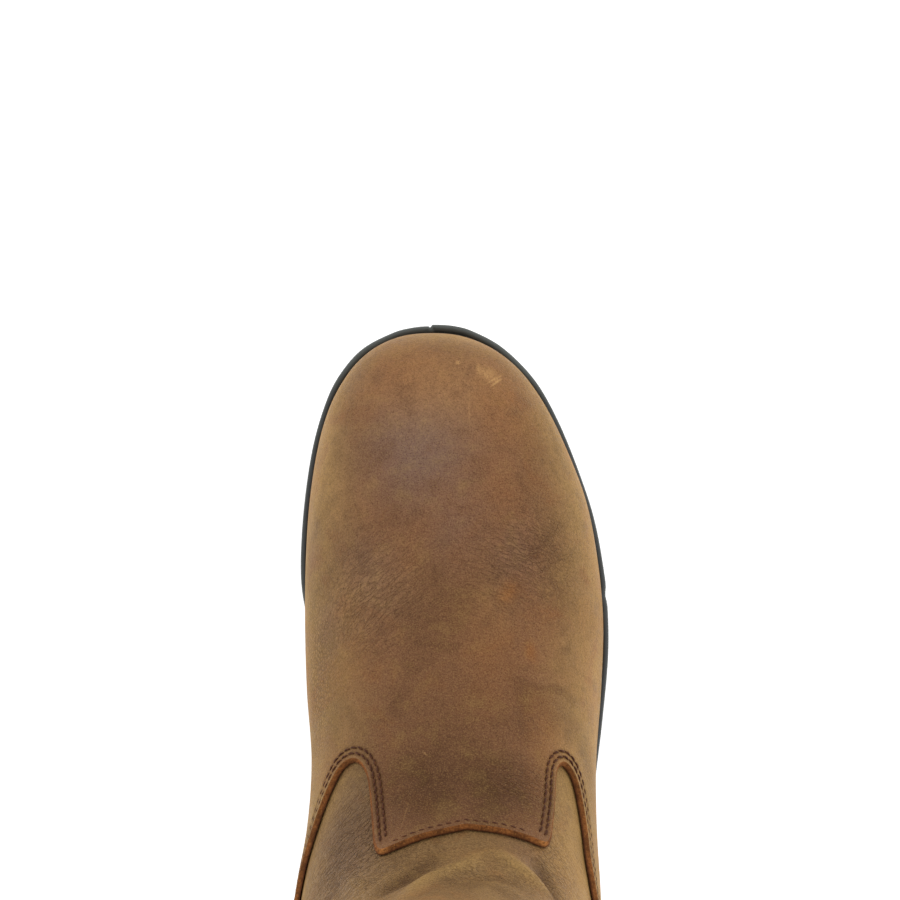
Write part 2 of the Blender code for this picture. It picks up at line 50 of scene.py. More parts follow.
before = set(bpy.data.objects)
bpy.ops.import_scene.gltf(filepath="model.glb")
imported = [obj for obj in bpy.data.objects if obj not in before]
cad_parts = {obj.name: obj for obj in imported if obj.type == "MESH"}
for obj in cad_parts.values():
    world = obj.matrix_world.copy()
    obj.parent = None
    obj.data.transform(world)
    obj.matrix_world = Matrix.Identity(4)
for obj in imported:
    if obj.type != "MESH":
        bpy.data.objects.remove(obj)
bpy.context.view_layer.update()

MM = 0.001
BODY = "root"
SOLE_LOW, SOLE_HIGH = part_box("sole")
SOLE_LENGTH = (SOLE_HIGH.y - SOLE_LOW.y) / MM

# Sole
FOREFOOT_HEIGHT = 26.0
HEEL_HEIGHT = 36.0
HEEL_RAMP = (165.0, 78.0)
TOE_SPRING = 12.5
TOE_SPRING_START = 222.0
ARCH_HEIGHT = 13.0
HEEL_BREAST = (76.0, 79.0)
ARCH_END = (108.0, 152.0)
HEEL_BEVEL_HEIGHT = 2.5
HEEL_BEVEL_LENGTH = 9.0
LUG_DEPTH = 5.0
LUG_GROOVE = 6.5
LUG_SWEEP = 9.0
LUG_REACH = 76.0
FOREFOOT_GROOVES = (164.0, 185.0, 206.0, 227.0, 248.0, 269.0)
HEEL_GROOVES = (20.0, 38.0, 56.0)
CENTRE_GROOVE = (150.0, 284.0)
CENTRE_GROOVE_WIDTH = 5.0
CENTRE_GROOVE_STEPS = 40
# Corners of the bar that cuts a groove. Columns: share of the groove's width, share of its depth.
GROOVE_CORNERS = ((-0.5, 1.0), (-0.5, -1.0), (0.5, -1.0), (0.5, 1.0))
SOLE_STEPS = 8
TOE_STEPS = 40
CORNER_ROUNDS = 2
CORNER_CUT = 0.25
SOLE_SHARP_ANGLE = 38.0

# Small marks of the mould on the rim: a parting step at the toe, and a swell with a dent on the outer side.
# A reach says where a mark starts and where it is full: from the toe's tip, across, or from the dent.
TOE_STEP_ACROSS = -8.3
TOE_STEP_HEIGHT = 0.5
TOE_STEP_WIDTH = 0.3
TOE_STEP_REACH = (12.0, 4.0)
TOE_NICK_DEPTH = 0.6
TOE_NICK_WIDTH = 0.4
OUTER_SIDE_REACH = (20.0, 40.0)
RIM_DENT_FROM_HEEL = 210.0
RIM_DENT_DEPTH = 0.55
RIM_DENT_WIDTH = 2.2
RIM_SWELL = 0.5
RIM_SWELL_REACH = (45.0, 10.0)
# The rim's lip, painted lighter as a painted highlight on its outer edge, by height share and inset. At the
# toe the painted light runs further in, over the shade under the leather's overhang.
RIM_HIGHLIGHT_SHARES = (0.84, 0.92)
RIM_HIGHLIGHT_INSETS = (0.6, 0.0)
TOE_RIM_LIGHT = (276.0, 296.0)
TOE_RIM_LIGHT_INSETS = (4.2, 1.5)
TOE_RIM_LIGHT_STRENGTH = 0.5

# Outline of the sole's rim, seen from above.
OUTLINE_COLUMNS = ("from_heel", "medial", "lateral")
SOLE_OUTLINE = (
    (0.0, 0.7, 0.7),
    (1.6, -10.5, 12.0),
    (6.0, -20.5, 22.0),
    (14.0, -29.0, 30.5),
    (26.0, -35.3, 36.9),
    (45.0, -39.0, 41.0),
    (70.0, -40.2, 43.2),
    (95.0, -40.8, 45.4),
    (120.0, -41.5, 48.0),
    (144.0, -42.5, 50.7),
    (165.6, -44.3, 53.4),
    (187.0, -48.7, 55.0),
    (206.0, -53.6, 54.7),
    (220.0, -55.0, 53.2),
    (240.6, -53.9, 49.3),
    (262.0, -50.7, 41.8),
    (278.1, -46.0, 34.3),
    (288.8, -40.6, 27.2),
    (298.4, -32.0, 17.1),
    (303.8, -22.0, 7.2),
    (305.8, -14.5, 0.4),
    (306.3, -7.1, -7.1),
)

# Side of the sole from the tread up. Columns: height_share, inset from the rim.
SOLE_SIDE = (
    (0.00, 2.6),
    (0.07, 0.9),
    (0.36, 0.3),
    (0.40, 2.0),
    (0.46, 2.0),
    (0.50, 1.0),
    (0.76, 1.6),
    (0.80, 2.8),
    (0.84, 2.8),
    (0.88, 0.3),
    (0.96, 0.0),
    (1.00, 0.9),
    (1.00, 2.2),
    (0.96, 2.9),
    (0.96, 4.2),
)

# Side of the insole from its underside up to its dished middle. Columns: height_share, inset.
INSOLE_SIDE = (
    (0.00, 0.0),
    (0.60, 0.0),
    (1.00, 1.0),
    (1.00, 3.0),
    (0.86, 5.0),
    (0.86, 9.0),
)
INSOLE_THICKNESS = 4.0
INSOLE_INSET = 5.4
INSOLE_STEPS = 4

# Sections of the boot's outside, from the toe over the instep to the collar. A section is a slanting cut
# from its crest, on the front of the boot, to its base, on the sole or on the back of the heel and leg.
# crest: place of the front line; base: place of the sole or back line; base_rise: base above the sole's top;
# ridge, medial, lateral, foot: places across, at the crest, at the widest points and at the base;
# widest: share of the way from crest to base; powers: how square the cut is above and below the widest point.
SECTION_COLUMNS = (
    "crest_from_heel", "crest_height", "base_from_heel", "base_rise", "ridge", "medial", "lateral",
    "foot_medial", "foot_lateral", "widest", "top_power", "low_power", "closing_power",
)
SECTIONS = (
    (299.5, 37.5, 299.5, 0.9, -8.0, -8.0, -8.0, -8.0, -8.0, 0.75, 2.2, 2.0, 1.0),
    (301.9, 45.0, 298.6, 0.9, -8.0, -18.3, 3.3, -17.6, 2.6, 0.75, 2.2, 2.0, 1.0),
    (302.2, 54.0, 295.4, 0.9, -7.5, -24.5, 9.2, -23.2, 7.8, 0.72, 2.2, 2.0, 1.0),
    (299.2, 63.0, 290.6, 0.9, -7.0, -31.4, 17.1, -29.6, 15.0, 0.70, 2.2, 2.0, 1.0),
    (293.0, 70.5, 283.5, 0.9, -6.0, -37.5, 24.6, -35.4, 22.4, 0.68, 2.2, 2.0, 1.0),
    (283.0, 76.5, 273.0, 0.9, -5.0, -43.1, 31.8, -40.8, 29.1, 0.67, 2.2, 2.0, 1.0),
    (270.0, 81.5, 259.0, 0.9, -4.0, -47.1, 38.5, -44.6, 35.6, 0.66, 2.2, 2.0, 1.0),
    (252.0, 85.5, 240.0, 0.9, -2.5, -50.0, 45.6, -47.2, 42.6, 0.65, 2.2, 2.0, 1.0),
    (232.0, 88.5, 220.0, 0.9, -1.0, -51.3, 49.6, -48.4, 46.6, 0.65, 2.2, 2.0, 1.0),
    (210.0, 93.5, 198.0, 0.9, 0.5, -51.5, 51.5, -47.8, 48.2, 0.65, 2.2, 2.0, 1.0),
    (189.0, 101.5, 172.0, 0.9, 2.0, -50.5, 50.4, -45.0, 47.0, 0.62, 2.2, 2.0, 1.0),
    (171.0, 111.5, 143.0, 0.9, 3.0, -48.2, 48.0, -41.0, 43.6, 0.55, 2.3, 2.0, 1.0),
    (157.0, 121.5, 110.0, 0.9, 3.5, -48.7, 47.2, -38.0, 41.0, 0.47, 2.4, 2.0, 1.0),
    (147.5, 131.0, 74.0, 0.9, 3.5, -51.2, 47.5, -36.6, 39.0, 0.42, 2.5, 1.8, 1.0),
    (142.5, 140.0, 46.0, 0.9, 3.0, -52.6, 47.7, -35.6, 37.4, 0.40, 2.5, 1.7, 1.0),
    (139.6, 149.0, 25.0, 0.9, 2.2, -52.6, 48.2, -31.2, 32.6, 0.40, 2.5, 1.7, 1.15),
    (138.2, 157.0, 11.5, 0.9, 1.5, -52.1, 48.6, -20.0, 21.4, 0.41, 2.5, 1.8, 1.5),
    (137.5, 164.0, 5.0, 0.9, 1.0, -51.5, 48.8, 0.7, 0.7, 0.43, 2.5, 2.1, 2.0),
    (137.0, 177.0, 2.0, 24.0, 0.5, -50.5, 49.0, 0.7, 0.7, 0.48, 2.5, 2.2, 2.0),
    (137.0, 194.0, 5.0, 56.0, 0.0, -50.5, 49.5, 0.7, 0.7, 0.50, 2.5, 2.2, 2.2),
    (137.5, 214.0, 9.5, 92.0, 0.0, -50.8, 50.5, 0.4, 0.4, 0.50, 2.5, 2.2, 2.2),
    (138.5, 236.0, 10.0, 132.0, 0.0, -51.5, 51.5, 0.0, 0.0, 0.50, 2.4, 2.3, 2.3),
    (139.5, 260.0, 8.0, 178.0, 0.0, -52.5, 52.5, 0.0, 0.0, 0.50, 2.4, 2.3, 2.3),
    (141.0, 285.0, 4.5, 240.0, 0.0, -54.0, 54.0, 0.0, 0.0, 0.50, 2.4, 2.3, 2.3),
)
LEATHER_LIFT = 0.9
FIRST_ROW = 0.15
HEEL_SEAM_ROW = 17
COLLAR_ROW = len(SECTIONS) - 1
HEEL_CUP_MIDDLE = (0.7, 38.0, 0.0)
HEEL_CUP_ROWS = (14.0, 15.5, 17.2, 18.2)
HEEL_CUP_SHARES = (0.75, 0.95)
NORMAL_ROW_STEP = 0.03
NORMAL_SHARE_STEP = 0.01
INSET_STEPS = 4

# Meshes: points this close are joined, and edges bent more than this angle stay sharp.
JOIN_DISTANCE = 0.01
SHARP_ANGLE = 50.0

# Top edge of the vamp on the boot's skin. Columns: along the ridge from the toe, around from the ridge.
# It runs from the back seam along the wing, over the notch and down the tab's side to the middle of the tab.
VAMP_EDGE_MEDIAL = (
    (263.0, 207.0),
    (260.6, 192.0),
    (257.0, 175.0),
    (246.9, 145.4),
    (237.5, 120.8),
    (228.5, 103.1),
    (220.3, 92.2),
    (212.4, 83.7),
    (204.2, 73.4),
    (196.7, 66.9),
    (187.2, 57.8),
    (179.0, 50.0),
    (173.7, 44.2),
    (172.0, 39.0),
    (173.4, 35.3),
    (177.5, 32.6),
    (184.0, 31.2),
    (195.0, 29.8),
    (204.5, 28.4),
    (208.4, 26.2),
    (207.2, 22.0),
    (202.9, 13.0),
)
VAMP_EDGE_LATERAL = (
    (263.0, 205.0),
    (260.6, 190.5),
    (257.1, 173.8),
    (246.9, 142.9),
    (237.5, 116.8),
    (228.5, 95.4),
    (220.3, 79.6),
    (213.3, 67.0),
    (207.0, 56.8),
    (199.0, 49.6),
    (190.3, 46.8),
    (183.0, 44.4),
    (177.5, 41.8),
    (174.0, 38.2),
    (173.0, 35.2),
    (174.6, 32.6),
    (178.5, 31.2),
    (186.1, 30.2),
    (194.3, 28.8),
    (200.4, 27.8),
    (203.2, 25.8),
    (202.2, 20.0),
    (200.4, 11.0),
)
VAMP_TAB_MIDDLE = (199.0, 0.0)
VAMP_EDGE_STEPS = 8
TAB_SHARE = 0.2
MEASURING_ROWS = 20
MEASURING_SHARES = 160

# The vamp's grid: columns follow the top edge, close together at the tab and wider apart along the wings.
VAMP_COLUMNS = 340
VAMP_LEVELS = 200
TAB_SPACING = 0.8
WING_SPACING = 2.4
WING_COLUMN_SHARES = (0.28, 0.5)
# Profile of the cut edge. Columns: distance in from the edge, depth below the outside.
CUT_EDGE = (
    (1.3, 0.0),
    (0.8, 0.02),
    (0.45, 0.08),
    (0.18, 0.20),
    (0.0, 0.38),
)
CUT_FACE = (
    (-0.28, 0.70),
    (-0.50, 1.05),
    (-0.65, 1.40),
    (-0.55, 1.75),
)
CUT_LEVELS = 2
EDGE_CROWDING = 1.6
INNER_STRIDE = 4

# The upper's grid: coarse under the vamp, fine on the leg. Columns of its rows: first, last, steps.
COLLAR_EDGE_ROW = COLLAR_ROW - 0.05
UPPER_HIDDEN_ROWS = (FIRST_ROW, 8.5, 24)
UPPER_SHOWN_ROWS = (8.5, COLLAR_EDGE_ROW, 216)
UPPER_COLUMNS = 180
COLLAR_TURNS = (45.0, 90.0, 135.0)
# Shares and vamp columns set close to the back seam, so that its groove is crisp.
SEAM_SHARES = (0.995, 0.9985)
SEAM_COLUMNS = (0.2, 0.6)
LINING_ROWS = 72
LINING_COLUMNS = 96
LINING_TOP_ROW = COLLAR_ROW - 0.22
LINING_EDGE_RISE = 0.02
LINING_GAP = 0.05

# Folds of the leather, each along a line through three places of the skin, positive outward.
FOLD_COLUMNS = ("row_a", "share_a", "row_b", "share_b", "row_c", "share_c", "width", "height")
FOLDS = (
    (18.7, -0.080, 16.3, -0.020, 14.0, 0.033, 3.6, 2.3),
    (14.0, 0.033, 15.3, 0.110, 17.0, 0.185, 3.6, 2.1),
    (17.8, -0.130, 16.0, -0.070, 13.9, -0.020, 4.2, -2.2),
    (14.1, 0.140, 15.6, 0.180, 17.0, 0.225, 3.6, -2.0),
    (18.0, -0.015, 16.2, 0.045, 17.4, 0.110, 4.0, -0.9),
    (18.6, 0.000, 17.3, 0.050, 18.2, 0.120, 4.0, 0.5),
    (14.2, -0.230, 15.2, -0.190, 16.2, -0.150, 3.0, 1.1),
    (13.3, -0.300, 14.6, -0.240, 15.6, -0.170, 6.0, -0.8),
    (14.6, -0.500, 16.0, -0.360, 17.6, -0.240, 7.0, -2.0),
    (14.6, 0.480, 16.2, 0.360, 18.0, 0.260, 7.0, -1.9),
    (16.0, -0.560, 17.4, -0.440, 18.8, -0.330, 7.5, 1.8),
    (17.0, -0.640, 18.2, -0.520, 19.4, -0.400, 7.0, -1.6),
    (16.2, 0.560, 17.6, 0.450, 19.0, 0.360, 7.5, 1.7),
    (17.2, 0.640, 18.4, 0.530, 19.6, 0.430, 7.0, -1.5),
    (20.2, -0.980, 20.0, -0.820, 19.4, -0.660, 6.0, -1.6),
    (20.2, 0.980, 20.0, 0.830, 19.5, 0.690, 6.0, -1.5),
    (20.9, -0.990, 20.7, -0.850, 20.3, -0.720, 7.0, 1.0),
    (20.9, 0.990, 20.7, 0.850, 20.3, 0.740, 7.0, 0.9),
    (9.9, -0.390, 9.3, -0.260, 8.7, -0.130, 5.0, -0.35),
    (9.3, -0.420, 8.8, -0.300, 8.3, -0.170, 4.0, -0.30),
    (8.8, 0.420, 8.4, 0.280, 8.2, 0.120, 5.0, -0.35),
    (9.4, 0.420, 9.0, 0.300, 8.9, 0.180, 4.0, -0.25),
)
FOLD_STEPS = 12
FOLD_END_POWER = 0.7

# Soft marks in the leather, each an oval patch on the skin. kind: the colour or crease it brings;
# along, around: half sizes; turn: degrees from the boot's length outward.
MARK_COLUMNS = ("piece", "kind", "row", "share", "along", "around", "turn", "strength")
MARKS = (
    ("vamp", "violet", 6.3, -0.050, 25.0, 21.0, 20.0, 0.85),
    ("vamp", "violet", 7.6, 0.010, 18.0, 14.0, 0.0, 0.40),
    ("vamp", "violet", 8.5, -0.170, 20.0, 14.0, 40.0, 0.35),
    ("vamp", "violet", 4.3, -0.300, 12.0, 8.0, 30.0, 0.35),
    ("vamp", "violet", 7.9, -0.380, 14.0, 7.0, 0.0, 0.30),
    ("vamp", "violet", 9.2, -0.300, 16.0, 9.0, 0.0, 0.35),
    ("vamp", "violet", 8.2, 0.110, 14.0, 12.0, 0.0, 0.25),
    ("vamp", "gold", 2.4, 0.000, 10.0, 34.0, 0.0, 0.75),
    ("vamp", "dark", 3.3, 0.060, 5.0, 13.0, 0.0, 0.35),
    ("vamp", "dark", 4.0, -0.290, 7.0, 8.0, 30.0, 0.30),
    ("vamp", "dark", 9.3, -0.020, 30.0, 40.0, 0.0, 0.25),
    ("vamp", "dark", 11.0, -0.020, 34.0, 50.0, 0.0, 0.45),
    # The next two dark marks paint the shade on the tab at the foot of the leg.
    ("vamp", "dark", 12.00, -0.060, 23.0, 30.0, 10.0, 0.90),
    ("vamp", "dark", 12.15, 0.050, 21.0, 24.0, -10.0, 0.88),
    ("vamp", "dark", 11.6, 0.090, 7.0, 16.0, 0.0, 0.35),
    ("vamp", "dark", 10.7, -0.290, 20.0, 9.0, 0.0, 0.38),
    ("vamp", "dark", 11.6, -0.205, 9.0, 7.0, 0.0, 0.40),
    ("vamp", "dark", 8.1, 0.173, 3.6, 3.6, 0.0, 0.45),
    ("vamp", "dark", 9.9, -0.150, 20.0, 20.0, 0.0, 0.15),
    ("vamp", "dark", 8.7, 0.230, 15.0, 9.0, 0.0, 0.32),
    ("vamp", "dark", 6.5, 0.220, 20.0, 8.0, 0.0, 0.28),
    ("vamp", "orange", 8.75, 0.100, 5.5, 3.2, -40.0, 1.00),
    ("vamp", "orange", 9.60, 0.145, 4.0, 2.6, 0.0, 0.85),
    ("vamp", "orange", 9.7, 0.060, 24.0, 12.0, 0.0, 0.25),
    ("vamp", "orange", 11.0, 0.190, 20.0, 10.0, 10.0, 0.40),
    ("vamp", "orange", 5.4, 0.170, 22.0, 12.0, 30.0, 0.45),
    ("vamp", "orange", 4.7, -0.080, 16.0, 24.0, 0.0, 0.45),
    ("vamp", "pale", 5.0, 0.000, 20.0, 24.0, 0.0, 0.30),
    ("vamp", "pale", 8.7, -0.150, 12.0, 18.0, 0.0, 0.18),
    ("vamp", "pale", 8.9, 0.070, 14.0, 9.0, 0.0, 0.18),
    ("vamp", "pale", 11.3, 0.270, 12.0, 10.0, 0.0, 0.35),
    ("vamp", "pale", 2.9, 0.200, 8.0, 14.0, 0.0, 0.30),
    # The next three pale marks, along the widest line, are painted highlight where the sides catch the light.
    ("vamp", "pale", 10.4, 0.400, 34.0, 12.0, 0.0, 0.45),
    ("vamp", "pale", 6.5, 0.450, 62.0, 9.0, 0.0, 0.50),
    ("vamp", "pale", 5.6, -0.430, 34.0, 12.0, 0.0, 0.35),
    ("vamp", "wrinkle_inner", 8.8, -0.190, 26.0, 30.0, 0.0, 0.32),
    ("vamp", "wrinkle_outer", 8.2, 0.150, 22.0, 28.0, 0.0, 0.30),
    ("vamp", "wrinkle_outer", 11.9, 0.110, 10.0, 14.0, 0.0, 0.30),
    ("vamp", "pebble", 10.1, -0.360, 42.0, 14.0, 0.0, 0.5),
    ("vamp", "pebble", 10.4, -0.560, 50.0, 22.0, 0.0, 0.4),
    ("vamp", "pebble", 9.6, 0.480, 34.0, 18.0, 0.0, 0.35),
    ("upper", "violet", 13.6, -0.230, 34.0, 18.0, 0.0, 0.55),
    ("upper", "violet", 15.4, 0.165, 24.0, 7.0, 20.0, 0.35),
    ("upper", "dark", 12.9, -0.220, 24.0, 14.0, 0.0, 0.50),
    ("upper", "dark", 17.2, -0.020, 12.0, 10.0, 0.0, 0.25),
    ("upper", "gold", 15.6, 0.040, 16.0, 14.0, 0.0, 0.20),
    ("upper", "gold", 15.6, 0.290, 40.0, 12.0, 0.0, 0.60),
    ("upper", "pale", 13.2, 0.205, 18.0, 8.0, 0.0, 0.30),
    ("upper", "orange", 15.6, 0.245, 14.0, 4.0, 0.0, 0.45),
    ("upper", "pale", 15.2, 0.290, 34.0, 12.0, 0.0, 0.40),
    ("upper", "wrinkle_inner", 14.2, -0.180, 40.0, 34.0, 0.0, 0.50),
    ("upper", "wrinkle_outer", 14.6, 0.200, 34.0, 20.0, 0.0, 0.30),
    ("upper", "wrinkle_outer", 16.6, 0.040, 26.0, 26.0, 0.0, 0.35),
    ("upper", "pebble", 14.0, -0.210, 40.0, 26.0, 0.0, 0.3),
    ("upper", "pebble", 14.6, 0.220, 30.0, 16.0, 0.0, 0.3),
    ("upper", "pebble", 17.0, -0.500, 60.0, 30.0, 0.0, 0.3),
    ("upper", "pebble", 17.0, 0.500, 60.0, 30.0, 0.0, 0.3),
)
MARK_KINDS = ("violet", "dark", "orange", "gold", "pale", "wrinkle_inner", "wrinkle_outer", "pebble")
MARK_FADE = 1.4
# The sides are painted golden as painted light where they face aside, and facing under takes it away as
# painted shade under the bulge. The leg gets less of it.
PAINTED_SIDE_LIGHT_FACING = (0.3, 1.0)
PAINTED_UNDER_SHADE_FACING = (-0.05, -0.45)
PAINTED_UNDER_SHADE_LOSS = 0.75
LEG_ROWS = (15.0, 19.0)
LEG_PAINTED_LIGHT_LOSS = 0.6

# Scuff and scratches, finer than the mesh.
# Columns: across, from_heel, half length, half width, turn, strength.
STROKES = (
    (14.1, 284.7, 3.0, 0.60, 37.0, 0.90),
    (12.9, 285.5, 2.8, 0.50, 33.0, 0.75),
    (15.0, 286.4, 2.2, 0.45, 40.0, 0.50),
    (10.6, 287.2, 2.6, 0.60, 125.0, 0.50),
    (8.2, 289.4, 3.0, 1.00, 100.0, 0.50),
    (11.6, 287.6, 5.2, 3.20, 150.0, 0.45),
    (1.3, 291.4, 1.2, 1.00, 0.0, 0.70),
    (5.0, 276.0, 8.6, 0.45, 90.0, 0.25),
    (-9.3, 165.8, 1.4, 0.40, -45.0, 0.40),
    (-15.4, 148.7, 4.5, 0.30, 70.0, 0.22),
)

# Clouds in the materials. Columns: size, detail, roughness, distortion. The nap, fibres, strands and grit are
# drawn coarser than their real one or two tenths of a millimetre, so that they show.
CLOUDS = {
    "leather": {
        "broad": (34.0, 3.0, 0.5, 0.0),
        "smoke": (15.0, 4.0, 0.6, 1.0),
        "patch": (8.0, 4.0, 0.62, 0.0),
        "grain": (1.4, 3.0, 0.6, 0.0),
        "nap": (0.42, 2.0, 0.6, 0.0),
    },
    "cut_edge": {"fibres": (0.7, 4.0, 0.75, 0.0), "handled": (7.0, 3.0, 0.6, 0.0)},
    "thread": {"strands": (0.5, 2.0, 0.6, 0.0)},
    "rubber": {"grit": (0.7, 3.0, 0.6, 0.0), "dust": (14.0, 4.0, 0.5, 0.0)},
    "cloth": {"fuzz": (3.0, 5.0, 0.7, 0.0)},
}
PORE_SPACING = 1.3
WRINKLE_SPACING = 1.5
WRINKLE_STRETCH = 4.0
WRINKLE_DEPTH = 0.9
VAMP_WRINKLE_TURNS = (38.0, -17.0)
LEG_WRINKLE_TURNS = (52.0, -58.0)
PEBBLE_SIZE = 1.3
PEBBLE_DEPTH = 0.7
PEBBLE_LEAST = 0.14
SHEEN_TINT = "#e8b878"
# A wave texture of scale 1 repeats after this length. The cloth's threads are drawn twice as coarse.
WAVE_LENGTH = math.pi / 10.0
LINING_THREAD = 2.2
INSOLE_THREAD = 2.6

# Stitch rows. Distances are from the vamp's edge, the collar or the back seam.
VAMP_STITCH_ROWS = (2.1, 4.0)
TAB_STITCH_ROW = 2.0
TAB_STITCH_DEPTH = 0.12
TAB_CORNER_CLEARANCE = 3.4
# Width of the painted highlight on the cut edge at the tab's corners.
TAB_CORNER_HIGHLIGHT = 1.6
COLLAR_STITCH_ROWS = (4.0, 6.2)
COLLAR_STITCH_SHARE = 0.9995
COLLAR_STITCH_STEPS = 240
SEAM_STITCH_ROW = 2.6
# How far above the wings the back seam's stitches start, and how far below the collar they end, in rows.
SEAM_STITCH_ENDS = (0.1, 0.16)
SEAM_STITCH_SHARE = 0.999
SEAM_STITCH_STEPS = 120
# The groove of the back seam and the trough along a stitch row. Columns: half width, depth.
SEAM_GROOVE = (0.9, 0.55)
SEAM_GROOVE_STEPS = 60
SEAM_GROOVE_FADE = (30.0, 16.0)
STITCH_TROUGH = (0.8, 0.32)
# Along the wings the stitches sink into the leather, between these shares.
WING_STITCH_SINK = 0.35
WING_SHARES = (0.27, 0.36)
WING_END_SHARES = (0.6, 0.5)
STITCH_SPAN = (0.05, 0.95)
STITCH_SLANT = 0.22
# Shares of a thread's radius: its size at the two ends, and how far the ends are sunk.
THREAD_END_SIZE = 0.62
THREAD_END_SINK = 0.75
THREAD_SIDES = 6
THREAD_RINGS = 5
THREAD_SHARP_ANGLE = 180.0

# Camera, straight above the boot, and the floor. The camera's clips and the floor's size are in metres.
CAMERA_HEIGHT = 800.0
CAMERA_ACROSS = -1.4
CAMERA_FROM_HEEL = 262.0
CAMERA_LENS = 86.576
CAMERA_CLIP = (0.01, 20.0)
SENSOR_WIDTH = 36.0
FLOOR_SIZE = 8.0
FLOOR_GLOW = 0.55
WHITE = (1.0, 1.0, 1.0, 1.0)
# Light tent: strength overhead, and how much it grows with the squares of the directions across and along.
OVERHEAD_LIGHT = 0.96
SIDE_LIGHT_REACH = (0.8, 0.6, 0.0)
SIDE_LIGHT_SHIFT = (0.07, 0.0, 0.0)


def linear(code):
    """sRGB hex colour as linear red, green and blue."""
    channels = [int(code[place:place + 2], 16) / 255.0 for place in (1, 3, 5)]
    return tuple(c / 12.92 if c <= 0.04045 else ((c + 0.055) / 1.055) ** 2.4 for c in channels)


def size_property(name, description, millimetres):
    """Length that a user may change."""
    return FloatProperty(name=name, description=description, default=millimetres * MM, min=0.0, unit="LENGTH")


def colour_property(name, description, code):
    """Colour that a user may change."""
    return FloatVectorProperty(
        name=name, description=description, default=linear(code), subtype="COLOR", min=0.0, max=1.0, size=3)


class BootSizes(bpy.types.PropertyGroup):
    """Thicknesses of the leather and thread."""

    vamp_thickness: size_property("Vamp thickness", "Leather laid over the foot", 1.8)
    fit_gap: size_property("Fit gap", "Air between vamp and upper", 0.45)
    upper_wall: size_property("Upper wall", "Upper with its lining", 2.2)
    lining_thickness: size_property("Lining thickness", "Lining inside the upper", 0.6)
    stitch_length: size_property("Stitch length", "From hole to hole along the seam", 2.9)
    thread_radius: size_property("Thread radius", "Half the sewing thread", 0.34)


class BootColours(bpy.types.PropertyGroup):
    """Colours of the leather, thread, rubber and cloth."""

    leather: colour_property("Leather", "Waxed brown of the vamp's top", "#80593c")
    # Gold also paints the light on the sides and the highlight on fold ridges.
    gold: colour_property("Golden leather", "Dry tan of the sides and rubbed spots", "#9b7b49")
    # Dark also paints shade: in creases, fold troughs, stitch troughs and on the tab.
    dark: colour_property("Dark leather", "Where the wax lies thick", "#3a200c")
    violet: colour_property("Cool leather", "Bluish cloud of wax on the toe", "#725c55")
    orange: colour_property("Warm leather", "Warm patches under the wax", "#8a562b")
    # Scuff also paints the highlight along the vamp's widest line.
    scuff: colour_property("Scuffed leather", "Pale fibres of the scuff", "#b98f5b")
    shaft: colour_property("Leg leather", "Olive tan of the leg", "#7e613d")
    cut_edge: colour_property("Cut edge", "Raw edge of the vamp", "#814f27")
    # This colour paints the edge's bright fibres and also the highlight at the tab's corners.
    edge_fibres_and_highlight: colour_property("Bare edge", "Bright fibres of the raw edge", "#a66d38")
    thread: colour_property("Thread", "Dark maroon sewing thread", "#45271a")
    rubber: colour_property("Rubber", "Black of the moulded sole", "#1b1e1d")
    # Dust also paints the highlight along the rim's outer edge.
    dust: colour_property("Dusty rubber", "Where the rubber is rubbed", "#5b5f59")
    lining: colour_property("Lining", "Brushed tan cloth inside", "#8a7358")
    insole: colour_property("Insole", "Dark cloth of the footbed", "#3b3733")
    floor: colour_property("Floor", "Plain pale floor", "#f4f4f4")


# Form of the boot


def smooth_step(value, start, end):
    """Goes from 0 at start to 1 at end, level at both."""
    share = np.clip((np.asarray(value, float) - start) / (end - start), 0.0, 1.0)
    return share * share * (3.0 - 2.0 * share)


def bell(distance, width):
    """1 at no distance, falling off smoothly over a width."""
    return np.exp(-(distance / width) ** 2)


def toe_lift(from_heel):
    """How far the toe spring lifts the sole off the floor."""
    share = (np.asarray(from_heel, float) - TOE_SPRING_START) / (SOLE_LENGTH - TOE_SPRING_START)
    return TOE_SPRING * np.clip(share, 0.0, None) ** 2


def sole_top(from_heel):
    """Height of the face that the upper stands on."""
    ramp = smooth_step(from_heel, *HEEL_RAMP)
    return FOREFOOT_HEIGHT + (HEEL_HEIGHT - FOREFOOT_HEIGHT) * ramp + toe_lift(from_heel)


def tread_height(from_heel):
    """Height of the underside: flat heel and ball, hollow arch, lifted toe and a small bevel at the back."""
    from_heel = np.asarray(from_heel, float)
    breast = np.clip((from_heel - HEEL_BREAST[0]) / (HEEL_BREAST[1] - HEEL_BREAST[0]), 0.0, 1.0)
    arch = ARCH_HEIGHT * breast * (1.0 - smooth_step(from_heel, *ARCH_END))
    bevel = HEEL_BEVEL_HEIGHT * np.clip(1.0 - from_heel / HEEL_BEVEL_LENGTH, 0.0, 1.0) ** 2
    return arch + bevel + toe_lift(from_heel)


def spline(table, places, before, after):
    """Smooth curve through a table's rows at fractional row numbers; before and after shape the two ends."""
    rows = np.vstack([before, table, after])
    first = np.clip(np.floor(places).astype(int), 0, len(table) - 2)
    part = (places - first)[:, None]
    a, b, c, d = (rows[first + step] for step in range(4))
    bend = 2.0 * a - 5.0 * b + 4.0 * c - d
    twist = 3.0 * b - a - 3.0 * c + d
    return 0.5 * (2.0 * b + (c - a) * part + bend * part**2 + twist * part**3)


def smooth_line(table, steps):
    """Smooth line through a table's rows, with straight-running ends."""
    table = np.asarray(table, float)
    places = np.linspace(0.0, len(table) - 1.0, steps * (len(table) - 1) + 1)
    return spline(table, places, 2.0 * table[0] - table[1], 2.0 * table[-1] - table[-2])


def mirrored_end(end, inner, mirrored):
    """Row beyond a rounded end: like the inner row, with the columns named by mirrored on the other side."""
    row = np.array(inner, float)
    row[mirrored] = 2.0 * np.asarray(end)[mirrored] - row[mirrored]
    return row


